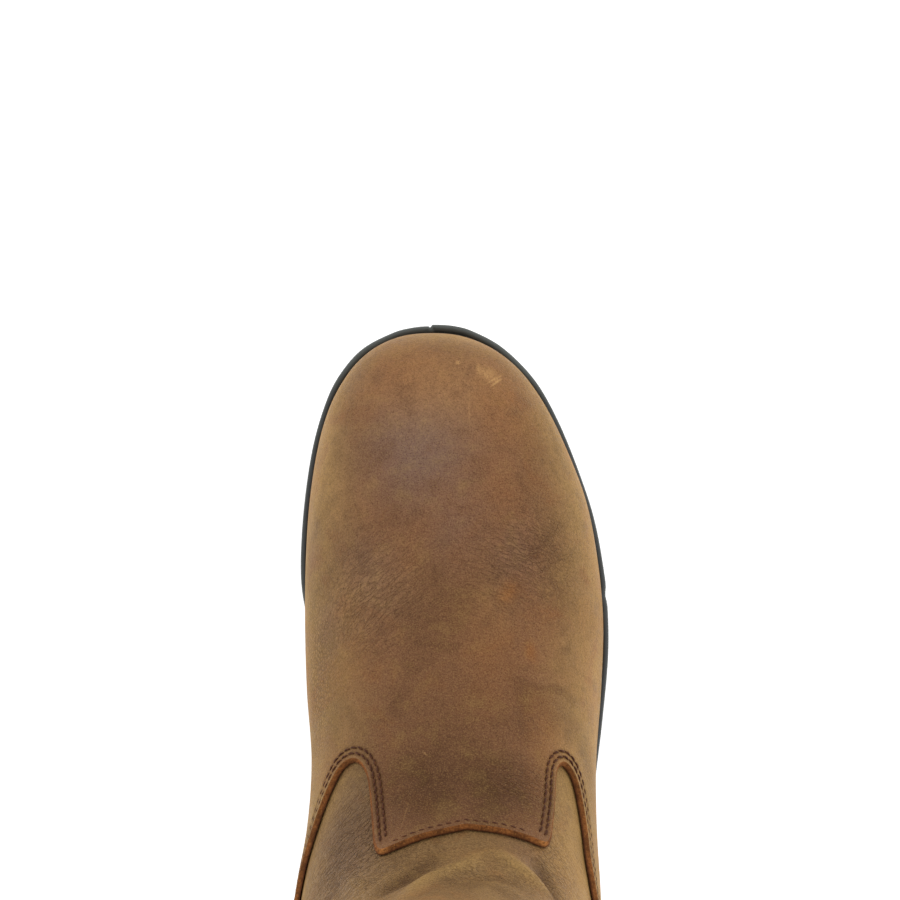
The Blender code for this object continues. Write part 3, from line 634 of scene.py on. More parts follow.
def section_sizes(rows):
    """Sizes of the sections at fractional row numbers, as named columns."""
    table = np.array(SECTIONS)
    across = [SECTION_COLUMNS.index(name) for name in (
        "crest_height", "medial", "lateral", "foot_medial", "foot_lateral")]
    before = mirrored_end(table[0], table[1], across)
    after = 2.0 * table[-1] - table[-2]
    values = spline(table, np.asarray(rows, float), before, after)
    sizes = dict(zip(SECTION_COLUMNS, values.T))
    joined_at_back = np.asarray(rows) >= HEEL_SEAM_ROW
    back_seam = (sizes["foot_medial"] + sizes["foot_lateral"]) / 2.0
    for name in ("foot_medial", "foot_lateral"):
        sizes[name] = np.where(joined_at_back, back_seam, sizes[name])
    sizes["base_rise"] = np.where(joined_at_back, sizes["base_rise"], LEATHER_LIFT)
    return sizes


def skin_points(rows, shares):
    """Points of the boot's outside. Rows count the sections. Shares run from -1 at the medial base
    over 0 at the crest to 1 at the lateral base, with the widest points at -0.5 and 0.5."""
    shares = np.asarray(shares, float)
    size = section_sizes(rows)
    lateral_side = shares > 0.0
    wide = np.where(lateral_side, size["lateral"], size["medial"])
    foot = np.where(lateral_side, size["foot_lateral"], size["foot_medial"])
    above = np.clip(2.0 * np.abs(shares), 0.0, 1.0) * np.pi / 2.0
    below = np.sin(np.clip(2.0 * np.abs(shares) - 1.0, 0.0, 1.0) * np.pi / 2.0)
    rounding = 2.0 / size["top_power"]
    upper_way = size["widest"] * (1.0 - np.cos(above).clip(0.0) ** rounding)
    upper_across = size["ridge"] + (wide - size["ridge"]) * np.sin(above) ** rounding
    lower_way = size["widest"] + (1.0 - size["widest"]) * below
    fall = (1.0 - below ** size["low_power"]).clip(0.0) ** (1.0 / size["closing_power"])
    is_upper = np.abs(shares) <= 0.5
    way = np.where(is_upper, upper_way, lower_way)
    across = np.where(is_upper, upper_across, foot + (wide - foot) * fall)
    base_height = sole_top(size["base_from_heel"]) + size["base_rise"]
    from_heel = size["crest_from_heel"] + way * (size["base_from_heel"] - size["crest_from_heel"])
    height = size["crest_height"] + way * (base_height - size["crest_height"])
    return np.stack([across, from_heel, height], axis=1)


def skin_slopes(rows, shares):
    """Steps of the boot's outside along a row and around a share, per unit."""
    rows = np.clip(rows, NORMAL_ROW_STEP, COLLAR_ROW - NORMAL_ROW_STEP)
    low = np.clip(shares - NORMAL_SHARE_STEP, -1.0, 1.0)
    high = np.clip(shares + NORMAL_SHARE_STEP, -1.0, 1.0)
    along = skin_points(rows + NORMAL_ROW_STEP, shares) - skin_points(rows - NORMAL_ROW_STEP, shares)
    around = skin_points(rows, high) - skin_points(rows, low)
    return along / (2.0 * NORMAL_ROW_STEP), around / (high - low)[:, None]


def unit(vectors):
    """Vectors of length 1."""
    return vectors / np.linalg.norm(vectors, axis=-1, keepdims=True)


def skin_normals(rows, shares):
    """Outward directions of the boot's outside.

    Low on the heel, where rows and shares both run round the cup, they point away from the cup's middle.
    """
    rows, shares = np.asarray(rows, float), np.asarray(shares, float)
    along, around = skin_slopes(rows, shares)
    normals = np.cross(around, -along)
    normals[(np.abs(shares) == 1.0) & (rows >= HEEL_SEAM_ROW), 0] = 0.0
    normals = unit(normals)
    upright = skin_points(rows, shares) - HEEL_CUP_MIDDLE
    upright[:, 2] = 0.0
    near_heel = smooth_step(rows, *HEEL_CUP_ROWS[:2]) * (1.0 - smooth_step(rows, *HEEL_CUP_ROWS[2:]))
    blend = (near_heel * smooth_step(np.abs(shares), *HEEL_CUP_SHARES))[:, None]
    return unit((1.0 - blend) * normals + blend * unit(upright))


def step_on_skin(places, moves):
    """Places (row, share) moved by small steps in millimetres, staying on the skin."""
    along, around = skin_slopes(*places.T)
    a = (along * along).sum(1)
    b = (along * around).sum(1)
    c = (around * around).sum(1)
    u = (moves * along).sum(1)
    v = (moves * around).sum(1)
    width = a * c - b * b
    return places + np.column_stack([(c * u - b * v) / width, (a * v - b * u) / width])


def inset_on_skin(places, distance):
    """A line of places, running from medial over the tab to lateral, moved on the skin towards the toe."""
    moved = np.array(places)
    for _ in range(INSET_STEPS):
        points = skin_points(*moved.T)
        tangent = unit(np.gradient(points, axis=0))
        aside = np.cross(skin_normals(*moved.T), tangent)
        moved = step_on_skin(moved, aside * distance / INSET_STEPS)
        moved[:, 1] = np.clip(moved[:, 1], -1.0, 1.0)
    return moved


def running_length(points):
    """Length along a polyline up to each of its points."""
    steps = np.linalg.norm(np.diff(points, axis=0), axis=1)
    return np.concatenate([[0.0], np.cumsum(steps)])


def along_line(table, length, wanted):
    """Rows of a table whose lengths are known, at wanted lengths."""
    return np.column_stack([np.interp(wanted, length, column) for column in table.T])


def pattern_to_skin(edge, lateral_side):
    """Turns places along and around the leather into rows and shares of the skin."""
    rows = np.linspace(0.0, COLLAR_ROW, MEASURING_ROWS * COLLAR_ROW + 1)
    ridge_length = running_length(skin_points(rows, np.zeros(len(rows))))
    edge_rows = np.interp(edge[:, 0], ridge_length, rows)
    shares = np.linspace(0.0, 1.0, MEASURING_SHARES + 1) * (1.0 if lateral_side else -1.0)
    edge_shares = []
    for row, around in zip(edge_rows, edge[:, 1]):
        girth = running_length(skin_points(np.full(len(shares), row), shares))
        edge_shares.append(np.interp(around, girth, shares))
    return np.column_stack([edge_rows, edge_shares])


def vamp_edge():
    """Top edge of the vamp from the medial back seam over the tab to the lateral one, as rows and shares."""
    sides = []
    for table, lateral_side in ((VAMP_EDGE_MEDIAL, False), (VAMP_EDGE_LATERAL, True)):
        edge = smooth_line(np.vstack([table, VAMP_TAB_MIDDLE]), VAMP_EDGE_STEPS)
        sides.append(pattern_to_skin(edge, lateral_side))
    medial, lateral = sides
    medial[0, 1], lateral[0, 1] = -1.0, 1.0
    first = np.linspace(medial[0], medial[1], VAMP_EDGE_STEPS, endpoint=False)
    last = np.linspace(lateral[1], lateral[0], VAMP_EDGE_STEPS + 1)
    return np.vstack([first, medial[1:], lateral[-2:1:-1], last])


def tab_corners(edge):
    """Numbers of the edge's points at the tab's two lower corners."""
    crest = int(np.argmin(np.abs(edge[:, 1])))
    on_tab = edge[:, 0] * (np.abs(edge[:, 1]) < TAB_SHARE)
    return int(np.argmax(on_tab[:crest])), crest + int(np.argmax(on_tab[crest:]))


def stitch_lines(edge):
    """Sewn lines of the vamp on the skin: the double rows along its sides and the row along the tab's end."""
    length = running_length(skin_points(*edge.T))
    inner, outer = length[list(tab_corners(edge))]
    medial = edge[length <= inner - TAB_CORNER_CLEARANCE]
    lateral = edge[length >= outer + TAB_CORNER_CLEARANCE]
    tab_end = edge[(length > inner + TAB_CORNER_CLEARANCE) & (length < outer - TAB_CORNER_CLEARANCE)]
    sides = [inset_on_skin(line, distance) for distance in VAMP_STITCH_ROWS for line in (medial, lateral)]
    return sides, inset_on_skin(tab_end, TAB_STITCH_ROW)


def line_distance(points, line):
    """Distance of each point from a densely sampled line, and the share of the line nearest to it."""
    nearest = np.full(len(points), np.inf)
    share = np.zeros(len(points))
    for step, place in enumerate(line):
        distance = np.linalg.norm(points - place, axis=1)
        closer = distance < nearest
        nearest[closer] = distance[closer]
        share[closer] = step / (len(line) - 1.0)
    return nearest, share


def fold_relief(points):
    """How far the folds lift or sink the leather at points of the skin."""
    relief = np.zeros(len(points))
    for row in FOLDS:
        fold = dict(zip(FOLD_COLUMNS, row))
        ends = [(fold["row_" + end], fold["share_" + end]) for end in "abc"]
        line = skin_points(*smooth_line(ends, FOLD_STEPS).T)
        distance, share = line_distance(points, line)
        fade = np.sin(np.pi * share) ** FOLD_END_POWER
        relief += fold["height"] * fade * bell(distance, fold["width"])
    return relief


def seam_relief(points, rows):
    """Groove where the two sides meet at the back of the heel and leg."""
    width, depth = SEAM_GROOVE
    seam_rows = np.linspace(HEEL_SEAM_ROW, COLLAR_ROW, SEAM_GROOVE_STEPS)
    middle = np.interp(rows, seam_rows, section_sizes(seam_rows)["foot_medial"])
    back = smooth_step(points[:, 1], *SEAM_GROOVE_FADE)
    return -depth * back * bell(points[:, 0] - middle, width)


def leather(places, depth):
    """Points of a leather sheet at a depth below the skin, with folds and back seam."""
    points = skin_points(*places.T)
    lift = fold_relief(points) + seam_relief(points, places[:, 0])
    return points + (lift - depth)[:, None] * skin_normals(*places.T)


def across_row(row, shares):
    """Places of one row, at each share."""
    return np.column_stack([np.full(len(shares), row), shares])


# Meshes


def to_world(points):
    """Millimetres from the heel to metres from the origin under the middle of the sole."""
    points = np.array(points, float)
    points[:, 1] -= SOLE_LENGTH / 2.0
    return points * MM


def close_mesh(mesh):
    """Joins coinciding points and turns all faces outward."""
    body = bmesh.new()
    body.from_mesh(mesh)
    bmesh.ops.remove_doubles(body, verts=body.verts, dist=JOIN_DISTANCE * MM)
    bmesh.ops.recalc_face_normals(body, faces=body.faces)
    body.to_mesh(mesh)
    body.free()


def new_piece(name, points, faces, materials, face_materials=None, sharp=SHARP_ANGLE, marks=None):
    """Smooth-shaded piece from points in millimetres, riding on the boot.

    marks holds a number for each point by name, for the material to read.
    """
    mesh = bpy.data.meshes.new(name)
    mesh.from_pydata(to_world(points).tolist(), [], faces)
    for material in materials:
        mesh.materials.append(material)
    if face_materials is not None:
        mesh.polygons.foreach_set("material_index", np.asarray(face_materials, np.int32))
    for kind, strength in (marks or {}).items():
        mesh.attributes.new(kind, "FLOAT", "POINT").data.foreach_set("value", strength.astype(np.float32))
    close_mesh(mesh)
    mesh.polygons.foreach_set("use_smooth", np.ones(len(mesh.polygons), bool))
    mesh.set_sharp_from_angle(angle=math.radians(sharp))
    made = bpy.data.objects.new(name, mesh)
    bpy.context.scene.collection.objects.link(made)
    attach(made, BODY)
    return made


def band_faces(rings, count, start=0):
    """Faces that join closed rings of points, each ring to the next."""
    faces = []
    for low in range(start, start + (rings - 1) * count, count):
        high = low + count
        for step in range(count):
            after = (step + 1) % count
            faces.append((low + step, low + after, high + after, high + step))
    return faces


def tube_faces(rings, count, start=0):
    """Faces of a tube of closed rings, with its two ends."""
    first, last = (tuple(range(ring, ring + count)) for ring in (start, start + (rings - 1) * count))
    return band_faces(rings, count, start) + [first[::-1], last]


def sheet_faces(outer, edge, inner, columns, joined_from, cut_levels=0):
    """Faces of a closed sheet whose levels run over its outside, its edge and back along its inside.

    The inside has one level for every INNER_STRIDE of the outside. The two sides are closed by walls up to
    the outside level joined_from, and above it they meet at the back seam. The last cut_levels of the outside
    count as edge.
    """
    levels = outer + edge + inner
    faces, on_edge = [], []
    for level in range(levels):
        after = (level + 1) % levels
        is_edge = outer - 1 - cut_levels <= level < outer + edge
        for column in range(columns):
            faces.append((
                level * (columns + 1) + column, level * (columns + 1) + column + 1,
                after * (columns + 1) + column + 1, after * (columns + 1) + column))
            on_edge.append(int(is_edge))
    for column in (0, columns):
        for segment in range(inner - 1):
            first = segment * INNER_STRIDE
            if first >= joined_from:
                continue
            ring = [first + step for step in range(INNER_STRIDE + 1)]
            ring += [levels - 1 - segment - 1, levels - 1 - segment]
            faces.append(tuple(level * (columns + 1) + column for level in ring))
            on_edge.append(0)
    return faces, on_edge


def sheet_of_rows(rows, shares, outside, edge, inside):
    """Points and faces of a closed sheet between two depths below the skin, with the levels of its edge.

    Also gives the rows of its inside, from the edge down.
    """
    inner_rows = rows[::-INNER_STRIDE]
    levels = [leather(across_row(row, shares), outside) for row in rows]
    levels += edge
    levels += [leather(across_row(row, shares), inside) for row in inner_rows]
    joined_from = int(np.searchsorted(rows, HEEL_SEAM_ROW))
    faces, _ = sheet_faces(len(rows), len(edge), len(inner_rows), len(shares) - 1, joined_from)
    return np.vstack(levels), faces, inner_rows


# Pieces


class BootPiece:
    """What the operators share."""

    bl_options = {"REGISTER", "UNDO"}

    @classmethod
    def sizes(cls, context):
        """Sizes in millimetres by name."""
        group = context.scene.boot_sizes
        return {name: getattr(group, name) / MM for name in BootSizes.__annotations__}


class BOOT_OT_upper(BootPiece, bpy.types.Operator):
    """Leather of the foot and leg, hollow, with ankle folds and a rounded collar"""

    bl_idname = "boot.upper"
    bl_label = "Upper"

    def execute(self, context):
        size = self.sizes(context)
        tables = (UPPER_HIDDEN_ROWS, UPPER_SHOWN_ROWS)
        hidden, shown = (np.linspace(first, last, steps + 1) for first, last, steps in tables)
        rows = np.concatenate([hidden[:-1], shown])
        shares = np.linspace(-1.0, 1.0, UPPER_COLUMNS + 1)
        shares = np.sort(np.concatenate([shares, SEAM_SHARES, np.negative(SEAM_SHARES)]))
        outside = size["vamp_thickness"] + size["fit_gap"]
        wall = size["upper_wall"] - size["lining_thickness"]
        top = across_row(rows[-1], shares)
        top_out, top_in = leather(top, outside), leather(top, outside + wall)
        middle = (top_out + top_in) / 2.0
        upward = unit(skin_slopes(*top.T)[0])
        collar = []
        for turn in np.radians(COLLAR_TURNS):
            collar.append(middle + (top_out - middle) * np.cos(turn) + upward * np.sin(turn) * wall / 2.0)
        points, faces, inner_rows = sheet_of_rows(rows, shares, outside, collar, outside + wall)
        all_rows = np.concatenate([rows, [rows[-1]] * len(collar), inner_rows])
        marks = mark_strengths(np.vstack([across_row(row, shares) for row in all_rows]), "upper")
        upper = new_piece("boot_upper", points, faces, [leg_leather(context)], marks=marks)
        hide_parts("upper")
        return {"FINISHED"}


class BOOT_OT_lining(BootPiece, bpy.types.Operator):
    """Brushed cloth lining inside the upper, ending just below the collar"""

    bl_idname = "boot.lining"
    bl_label = "Lining"

    def execute(self, context):
        size = self.sizes(context)
        outside = size["vamp_thickness"] + size["fit_gap"] + size["upper_wall"] - size["lining_thickness"]
        rows = np.linspace(FIRST_ROW, LINING_TOP_ROW, LINING_ROWS + 1)
        shares = np.linspace(-1.0, 1.0, LINING_COLUMNS + 1)
        top = across_row(rows[-1] + LINING_EDGE_RISE, shares)
        edge = [leather(top, outside + size["lining_thickness"] / 2.0)]
        points, faces, _ = sheet_of_rows(
            rows, shares, outside + LINING_GAP, edge, outside + size["lining_thickness"])
        new_piece("boot_lining", points, faces, [brushed_lining(context)])
        return {"FINISHED"}


class BOOT_OT_vamp(BootPiece, bpy.types.Operator):
    """Thick leather over the foot with its tab, notches and wings, and a raw cut edge"""

    bl_idname = "boot.vamp"
    bl_label = "Vamp"

    def columns_along_edge(self, edge):
        """Places on the top edge, close together at tab and notches and further apart along the wings."""
        length = running_length(skin_points(*edge.T))
        wing = smooth_step(np.abs(edge[:, 1]), *WING_COLUMN_SHARES)
        spacing = TAB_SPACING + (WING_SPACING - TAB_SPACING) * wing
        columns = np.concatenate([[0.0], np.cumsum(np.diff(length) / ((spacing[1:] + spacing[:-1]) / 2.0))])
        seam = np.array(SEAM_COLUMNS)
        wanted = np.concatenate([np.linspace(0.0, columns[-1], VAMP_COLUMNS + 1), seam, columns[-1] - seam])
        wanted.sort()
        return along_line(edge, columns, wanted)

    def outside(self, edge):
        """Lines of places on the vamp's outside, from the sole up to its edge, and how deep each lies."""
        lines = [inset_on_skin(edge, distance) for distance, _ in CUT_EDGE]
        for line in lines:
            line[0, 1], line[-1, 1] = -1.0, 1.0
        top = lines[0]
        toe_shares = np.linspace(-1.0, 1.0, len(edge))
        grid_levels = VAMP_LEVELS - len(CUT_EDGE) + 1
        places = []
        for share in 1.0 - np.linspace(1.0, 0.0, grid_levels + 1) ** EDGE_CROWDING:
            rows = FIRST_ROW + share * (top[:, 0] - FIRST_ROW)
            places.append(np.column_stack([rows, (1.0 - share) * toe_shares + share * top[:, 1]]))
        depths = [0.0] * len(places) + [depth for _, depth in CUT_EDGE[1:]]
        return places + lines[1:], depths

    def execute(self, context):
        size = self.sizes(context)
        top_edge = vamp_edge()
        edge = self.columns_along_edge(top_edge)
        places, depths = self.outside(edge)
        presses = self.stitch_presses(top_edge, places)
        pressed = [depth + STITCH_TROUGH[1] * press for depth, press in zip(depths, presses)]
        levels = [leather(line, depth) for line, depth in zip(places, pressed)]
        levels += [leather(inset_on_skin(edge, distance), depth) for distance, depth in CUT_FACE]
        inner = places[::-INNER_STRIDE]
        levels += [leather(line, size["vamp_thickness"]) for line in inner]
        side_rows = np.array([line[0, 0] for line in places])
        joined_from = int(np.searchsorted(side_rows, HEEL_SEAM_ROW))
        faces, on_edge = sheet_faces(
            len(places), len(CUT_FACE), len(inner), len(edge) - 1, joined_from, CUT_LEVELS)
        points = np.vstack(levels)
        marks = mark_strengths(np.vstack([*places, *[edge] * len(CUT_FACE), *inner]), "vamp")
        level_depths = [*depths, *[depth for _, depth in CUT_FACE], *[size["vamp_thickness"]] * len(inner)]
        # Depth below the outside; the cut edge's material paints its lower part darker as painted shade.
        marks["depth"] = np.repeat(np.array(level_depths) / size["vamp_thickness"], len(edge))
        unpressed = np.zeros(len(edge) * (len(levels) - len(places)))
        # How deep the stitch troughs press, which the material paints darker as painted shade.
        marks["stitch"] = np.concatenate([*presses, unpressed])
        # Painted highlight on the cut edge at the tab's two corners.
        marks["painted_corner_highlight"] = np.zeros(len(points))
        for corner in skin_points(*edge[list(tab_corners(edge))].T):
            marks["painted_corner_highlight"] += bell(np.linalg.norm(points - corner, axis=1), TAB_CORNER_HIGHLIGHT)
        materials = [vamp_leather(context), cut_leather_edge(context)]
        vamp = new_piece("boot_vamp", points, faces, materials, on_edge, marks=marks)
        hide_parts("vamp")
        return {"FINISHED"}

    def stitch_presses(self, edge, places):
        """How deep each point of the sheet lies in the troughs of the stitch rows, from 0 to 1."""
        rows = np.vstack([skin_points(*line.T) for line in stitch_lines(edge)[0]])
        presses = []
        for number, line in enumerate(places):
            press = np.zeros(len(line))
            if number > len(places) // 2:
                gaps = np.linalg.norm(skin_points(*line.T)[:, None, :] - rows[None, :, :], axis=2).min(axis=1)
                press = bell(gaps, STITCH_TROUGH[0])
            presses.append(press)
        return presses


def mark_strengths(places, piece):
    """How strong each kind of mark is at places of the skin, how far they face sideways, for the painted
    light on the sides, and their folds, for the painted highlight and shade on ridges and troughs.
    """
    points = skin_points(*places.T)
    strengths = {kind: np.zeros(len(points)) for kind in MARK_KINDS}
    strengths["pebble"] += PEBBLE_LEAST
    normals = skin_normals(*places.T)
    side_light_kept = 1.0 - PAINTED_UNDER_SHADE_LOSS * smooth_step(normals[:, 2], *PAINTED_UNDER_SHADE_FACING)
    side_light_kept *= 1.0 - LEG_PAINTED_LIGHT_LOSS * smooth_step(places[:, 0], *LEG_ROWS)
    # Painted light: sides facing aside are painted golden, less where they face under into shade and less on
    # the leg.
    strengths["side"] = side_light_kept * smooth_step(np.abs(normals[:, 0]), *PAINTED_SIDE_LIGHT_FACING)
    # Fold relief, which the material paints lighter on ridges and darker in troughs: painted highlight and
    # shade.
    strengths["lift"] = fold_relief(points) + seam_relief(points, places[:, 0])
    for row in MARKS:
        mark = dict(zip(MARK_COLUMNS, row))
        if mark["piece"] != piece:
            continue
        middle = np.array([[mark["row"], mark["share"]]])
        along, around = (unit(slope)[0] for slope in skin_slopes(*middle.T))
        turn = math.radians(mark["turn"])
        away = points - skin_points(*middle.T)
        long_way = away @ (math.cos(turn) * along + math.sin(turn) * around)
        short_way = away @ (math.cos(turn) * around - math.sin(turn) * along)
        oval = (long_way / mark["along"]) ** 2 + (short_way / mark["around"]) ** 2
        kind = mark["kind"]
        strengths[kind] = np.maximum(strengths[kind], mark["strength"] * np.exp(-MARK_FADE * oval))
    return strengths


class BOOT_OT_stitches(BootPiece, bpy.types.Operator):
    """Sewn rows along the vamp's edge, the collar and the back seam"""

    bl_idname = "boot.stitches"
    bl_label = "Stitches"

    def execute(self, context):
        size = self.sizes(context)
        thread = waxed_thread(context)
        edge = vamp_edge()
        side_rows, tab_row = stitch_lines(edge)
        self.sew("vamp_stitches", side_rows, 0.0, size, thread, "vamp_leather", WING_STITCH_SINK)
        self.sew("tab_stitches", [tab_row], TAB_STITCH_DEPTH, size, thread, "vamp_leather")
        shares = np.linspace(-COLLAR_STITCH_SHARE, COLLAR_STITCH_SHARE, COLLAR_STITCH_STEPS)
        collar = across_row(COLLAR_EDGE_ROW, shares)
        leg_rows = [inset_on_skin(collar, distance) for distance in COLLAR_STITCH_ROWS]
        first, last = edge[0, 0] + SEAM_STITCH_ENDS[0], COLLAR_ROW - SEAM_STITCH_ENDS[1]
        seam_rows = np.linspace(first, last, SEAM_STITCH_STEPS)
        for side in (-1.0, 1.0):
            seam = np.column_stack([seam_rows, np.full(len(seam_rows), SEAM_STITCH_SHARE * side)])
            away = np.tile([side * SEAM_STITCH_ROW, 0.0, 0.0], (len(seam_rows), 1))
            leg_rows.append(step_on_skin(seam, away))
        depth = size["vamp_thickness"] + size["fit_gap"]
        self.sew("leg_stitches", leg_rows, depth, size, thread, "upper_leather")
        return {"FINISHED"}

    def sew(self, name, rows, depth, size, thread, slot, wing_sink=0.0):
        """One piece of all the stitches along rows of places, sunk deeper along the wings."""
        points, faces = [], []
        for places in rows:
            girth = np.abs(places[:, 1])
            sink = wing_sink * smooth_step(girth, *WING_SHARES) * smooth_step(girth, *WING_END_SHARES)
            line = leather(places, depth + sink)
            normals = skin_normals(*places.T)
            length = running_length(line)
            for stitch in range(int(length[-1] / size["stitch_length"])):
                ends = (stitch + np.array(STITCH_SPAN)) * size["stitch_length"]
                middle = np.linspace(*ends, THREAD_RINGS)
                up = unit(along_line(normals, length, middle))
                self.add_stitch(points, faces, along_line(line, length, middle), up, size["thread_radius"])
        new_piece(name, np.vstack(points), faces, [thread], sharp=THREAD_SHARP_ANGLE)

    def add_stitch(self, points, faces, path, up, radius):
        """A short arched thread that dips into its holes at both ends."""
        along = unit(path[-1] - path[0])
        across = unit(np.cross(along, up))
        share = np.linspace(0.0, 1.0, THREAD_RINGS)
        path = path + across * ((share - 0.5) * 2.0 * STITCH_SLANT)[:, None]
        arch = np.sin(np.pi * share)
        turns = np.linspace(0.0, 2.0 * np.pi, THREAD_SIDES, endpoint=False)
        start = sum(len(ring) for ring in points)
        for ring in range(THREAD_RINGS):
            girth = radius * (THREAD_END_SIZE + (1.0 - THREAD_END_SIZE) * arch[ring])
            lift = radius * (arch[ring] - THREAD_END_SINK)
            circle = np.outer(np.cos(turns), across[ring]) + np.outer(np.sin(turns), up[ring])
            points.append(path[ring] + up[ring] * lift + girth * circle)
        faces += tube_faces(THREAD_RINGS, THREAD_SIDES, start)


def rounded_corners(table):
    """Table of a profile with its corners cut off again and again, so that they look moulded."""
    line = np.array(table)
    for _ in range(CORNER_ROUNDS):
        near, far = line[:-1], line[1:]
        first = (1.0 - CORNER_CUT) * near + CORNER_CUT * far
        second = CORNER_CUT * near + (1.0 - CORNER_CUT) * far
        cut = np.stack([first, second], axis=1).reshape(-1, 2)
        line = np.vstack([line[:1], cut[1:-1], line[-1:]])
    return line


def closed_outline(stations):
    """One ring of plan points from rows of from_heel, medial and lateral, heel to toe and back."""
    from_heel, medial, lateral = stations.T
    there = np.stack([medial, from_heel], axis=1)
    back = np.stack([lateral, from_heel], axis=1)[-2:0:-1]
    return np.vstack([there, back])


def inset_outline(ring, distance):
    """Plan ring moved inward by a distance."""
    tangent = np.roll(ring, -1, axis=0) - np.roll(ring, 1, axis=0)
    inward = np.stack([tangent[:, 1], -tangent[:, 0]], axis=1)
    return ring + distance * unit(inward)


def side_rings(ring, side_table, bottom, top):
    """Rings of a solid whose side follows a table of height shares and insets between two heights."""
    rings = []
    for share, inset in side_table:
        plan = inset_outline(ring, inset)
        low, high = bottom(plan[:, 1]), top(plan[:, 1])
        rings.append(np.column_stack([plan, low + share * (high - low)]))
    return rings


def ring_faces(levels, count):
    """Faces of a solid from closed rings, each running heel to toe and back, capped rung by rung."""
    half = count // 2
    faces = band_faces(levels, count)
    for base in (0, (levels - 1) * count):
        faces.append((base, base + 1, base + count - 1))
        for step in range(1, half - 1):
            faces.append((base + step, base + step + 1, base + count - step - 1, base + count - step))
        faces.append((base + half - 1, base + half, base + half + 1))
    return faces


def groove(path, width, across_path):
    """Bar for cutting one groove of the tread: plan points along it, widened along Y or across it along X."""
    points = []
    for x, y in path:
        for shift, rise in GROOVE_CORNERS:
            at = (x + shift * width, y) if across_path else (x, y + shift * width)
            floor = float(tread_height(max(at[1], HEEL_BEVEL_LENGTH)))
            points.append((*at, floor + rise * LUG_DEPTH))
    return points, tube_faces(len(path), len(GROOVE_CORNERS))


class BOOT_OT_sole(BootPiece, bpy.types.Operator):
    """Moulded rubber sole with rim, side steps, heel, arch, toe spring and lugs"""

    bl_idname = "boot.sole"
    bl_label = "Sole"

    def execute(self, context):
        table = np.array(SOLE_OUTLINE)
        sides = [OUTLINE_COLUMNS.index("medial"), OUTLINE_COLUMNS.index("lateral")]
        last = len(table) - 1.0
        places = np.linspace(0.0, last - 1.0, SOLE_STEPS * (len(table) - 2) + 1)
        places = np.concatenate([places, np.linspace(last - 1.0, last, TOE_STEPS + 1)[1:]])
        before = mirrored_end(table[0], table[1], sides)
        after = mirrored_end(table[-1], table[-2], sides)
        ring = self.mould_marks(closed_outline(spline(table, places, before, after)))
        side = rounded_corners(SOLE_SIDE)
        rings = side_rings(ring, side, tread_height, sole_top)
        points = np.vstack(rings)
        shares, insets = np.repeat(side, len(ring), axis=0).T
        # Painted highlight along the rim's outer edge; at the toe the painted light reaches further in, over
        # the shade under the leather.
        toe_rim_light = TOE_RIM_LIGHT_STRENGTH * smooth_step(points[:, 1], *TOE_RIM_LIGHT)
        rubbed = np.maximum(smooth_step(insets, *RIM_HIGHLIGHT_INSETS), toe_rim_light * smooth_step(insets, *TOE_RIM_LIGHT_INSETS))
        sole = new_piece(
            "boot_sole", points, ring_faces(len(rings), len(ring)), [moulded_rubber(context)],
            sharp=SOLE_SHARP_ANGLE, marks={"rim_highlight": smooth_step(shares, *RIM_HIGHLIGHT_SHARES) * rubbed})
        for name, bar_points, bar_faces in self.tread_bars():
            self.cut(sole, name, bar_points, bar_faces)
        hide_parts("sole")
        return {"FINISHED"}

    def mould_marks(self, ring):
        """Rim with the parting step at the toe and the swell and dent on its outer side."""
        toe = smooth_step(SOLE_LENGTH - ring[:, 1], *TOE_STEP_REACH)
        side = smooth_step(ring[:, 0], TOE_STEP_ACROSS - TOE_STEP_WIDTH, TOE_STEP_ACROSS + TOE_STEP_WIDTH)
        nick = TOE_NICK_DEPTH * bell(ring[:, 0] - TOE_STEP_ACROSS, TOE_NICK_WIDTH)
        forward = toe * (TOE_STEP_HEIGHT * (side - 1.0) - nick)
        outer = smooth_step(ring[:, 0], *OUTER_SIDE_REACH)
        from_dent = ring[:, 1] - RIM_DENT_FROM_HEEL
        dent = RIM_DENT_DEPTH * bell(from_dent, RIM_DENT_WIDTH)
        swell = RIM_SWELL * smooth_step(np.abs(from_dent), *RIM_SWELL_REACH)
        return ring + np.column_stack([outer * (swell - dent), forward])

    def tread_bars(self):
        """Name, points and faces of the bar that cuts each groove."""
        for number, middle in enumerate(FOREFOOT_GROOVES + HEEL_GROOVES):
            chevron = ((-LUG_REACH, middle - LUG_SWEEP), (0.0, middle), (LUG_REACH, middle - LUG_SWEEP))
            yield "lug_groove_%d" % number, *groove(chevron, LUG_GROOVE, across_path=False)
        channel = [(0.0, place) for place in np.linspace(*CENTRE_GROOVE, CENTRE_GROOVE_STEPS + 1)]
        yield "centre_groove", *groove(channel, CENTRE_GROOVE_WIDTH, across_path=True)

    def cut(self, sole, name, points, faces):
        """Cuts one groove out of the tread and applies it."""
        mesh = bpy.data.meshes.new(name)
        mesh.from_pydata(to_world(points).tolist(), [], faces)
        close_mesh(mesh)
        bar = bpy.data.objects.new(name, mesh)
        bpy.context.scene.collection.objects.link(bar)
        cutter = sole.modifiers.new(name, "BOOLEAN")
        cutter.operation = "DIFFERENCE"
        cutter.solver = "EXACT"
        cutter.object = bar
        made = bpy.data.meshes.new_from_object(sole.evaluated_get(bpy.context.evaluated_depsgraph_get()))
        sole.modifiers.clear()
        sole.data = made
        bpy.data.objects.remove(bar)


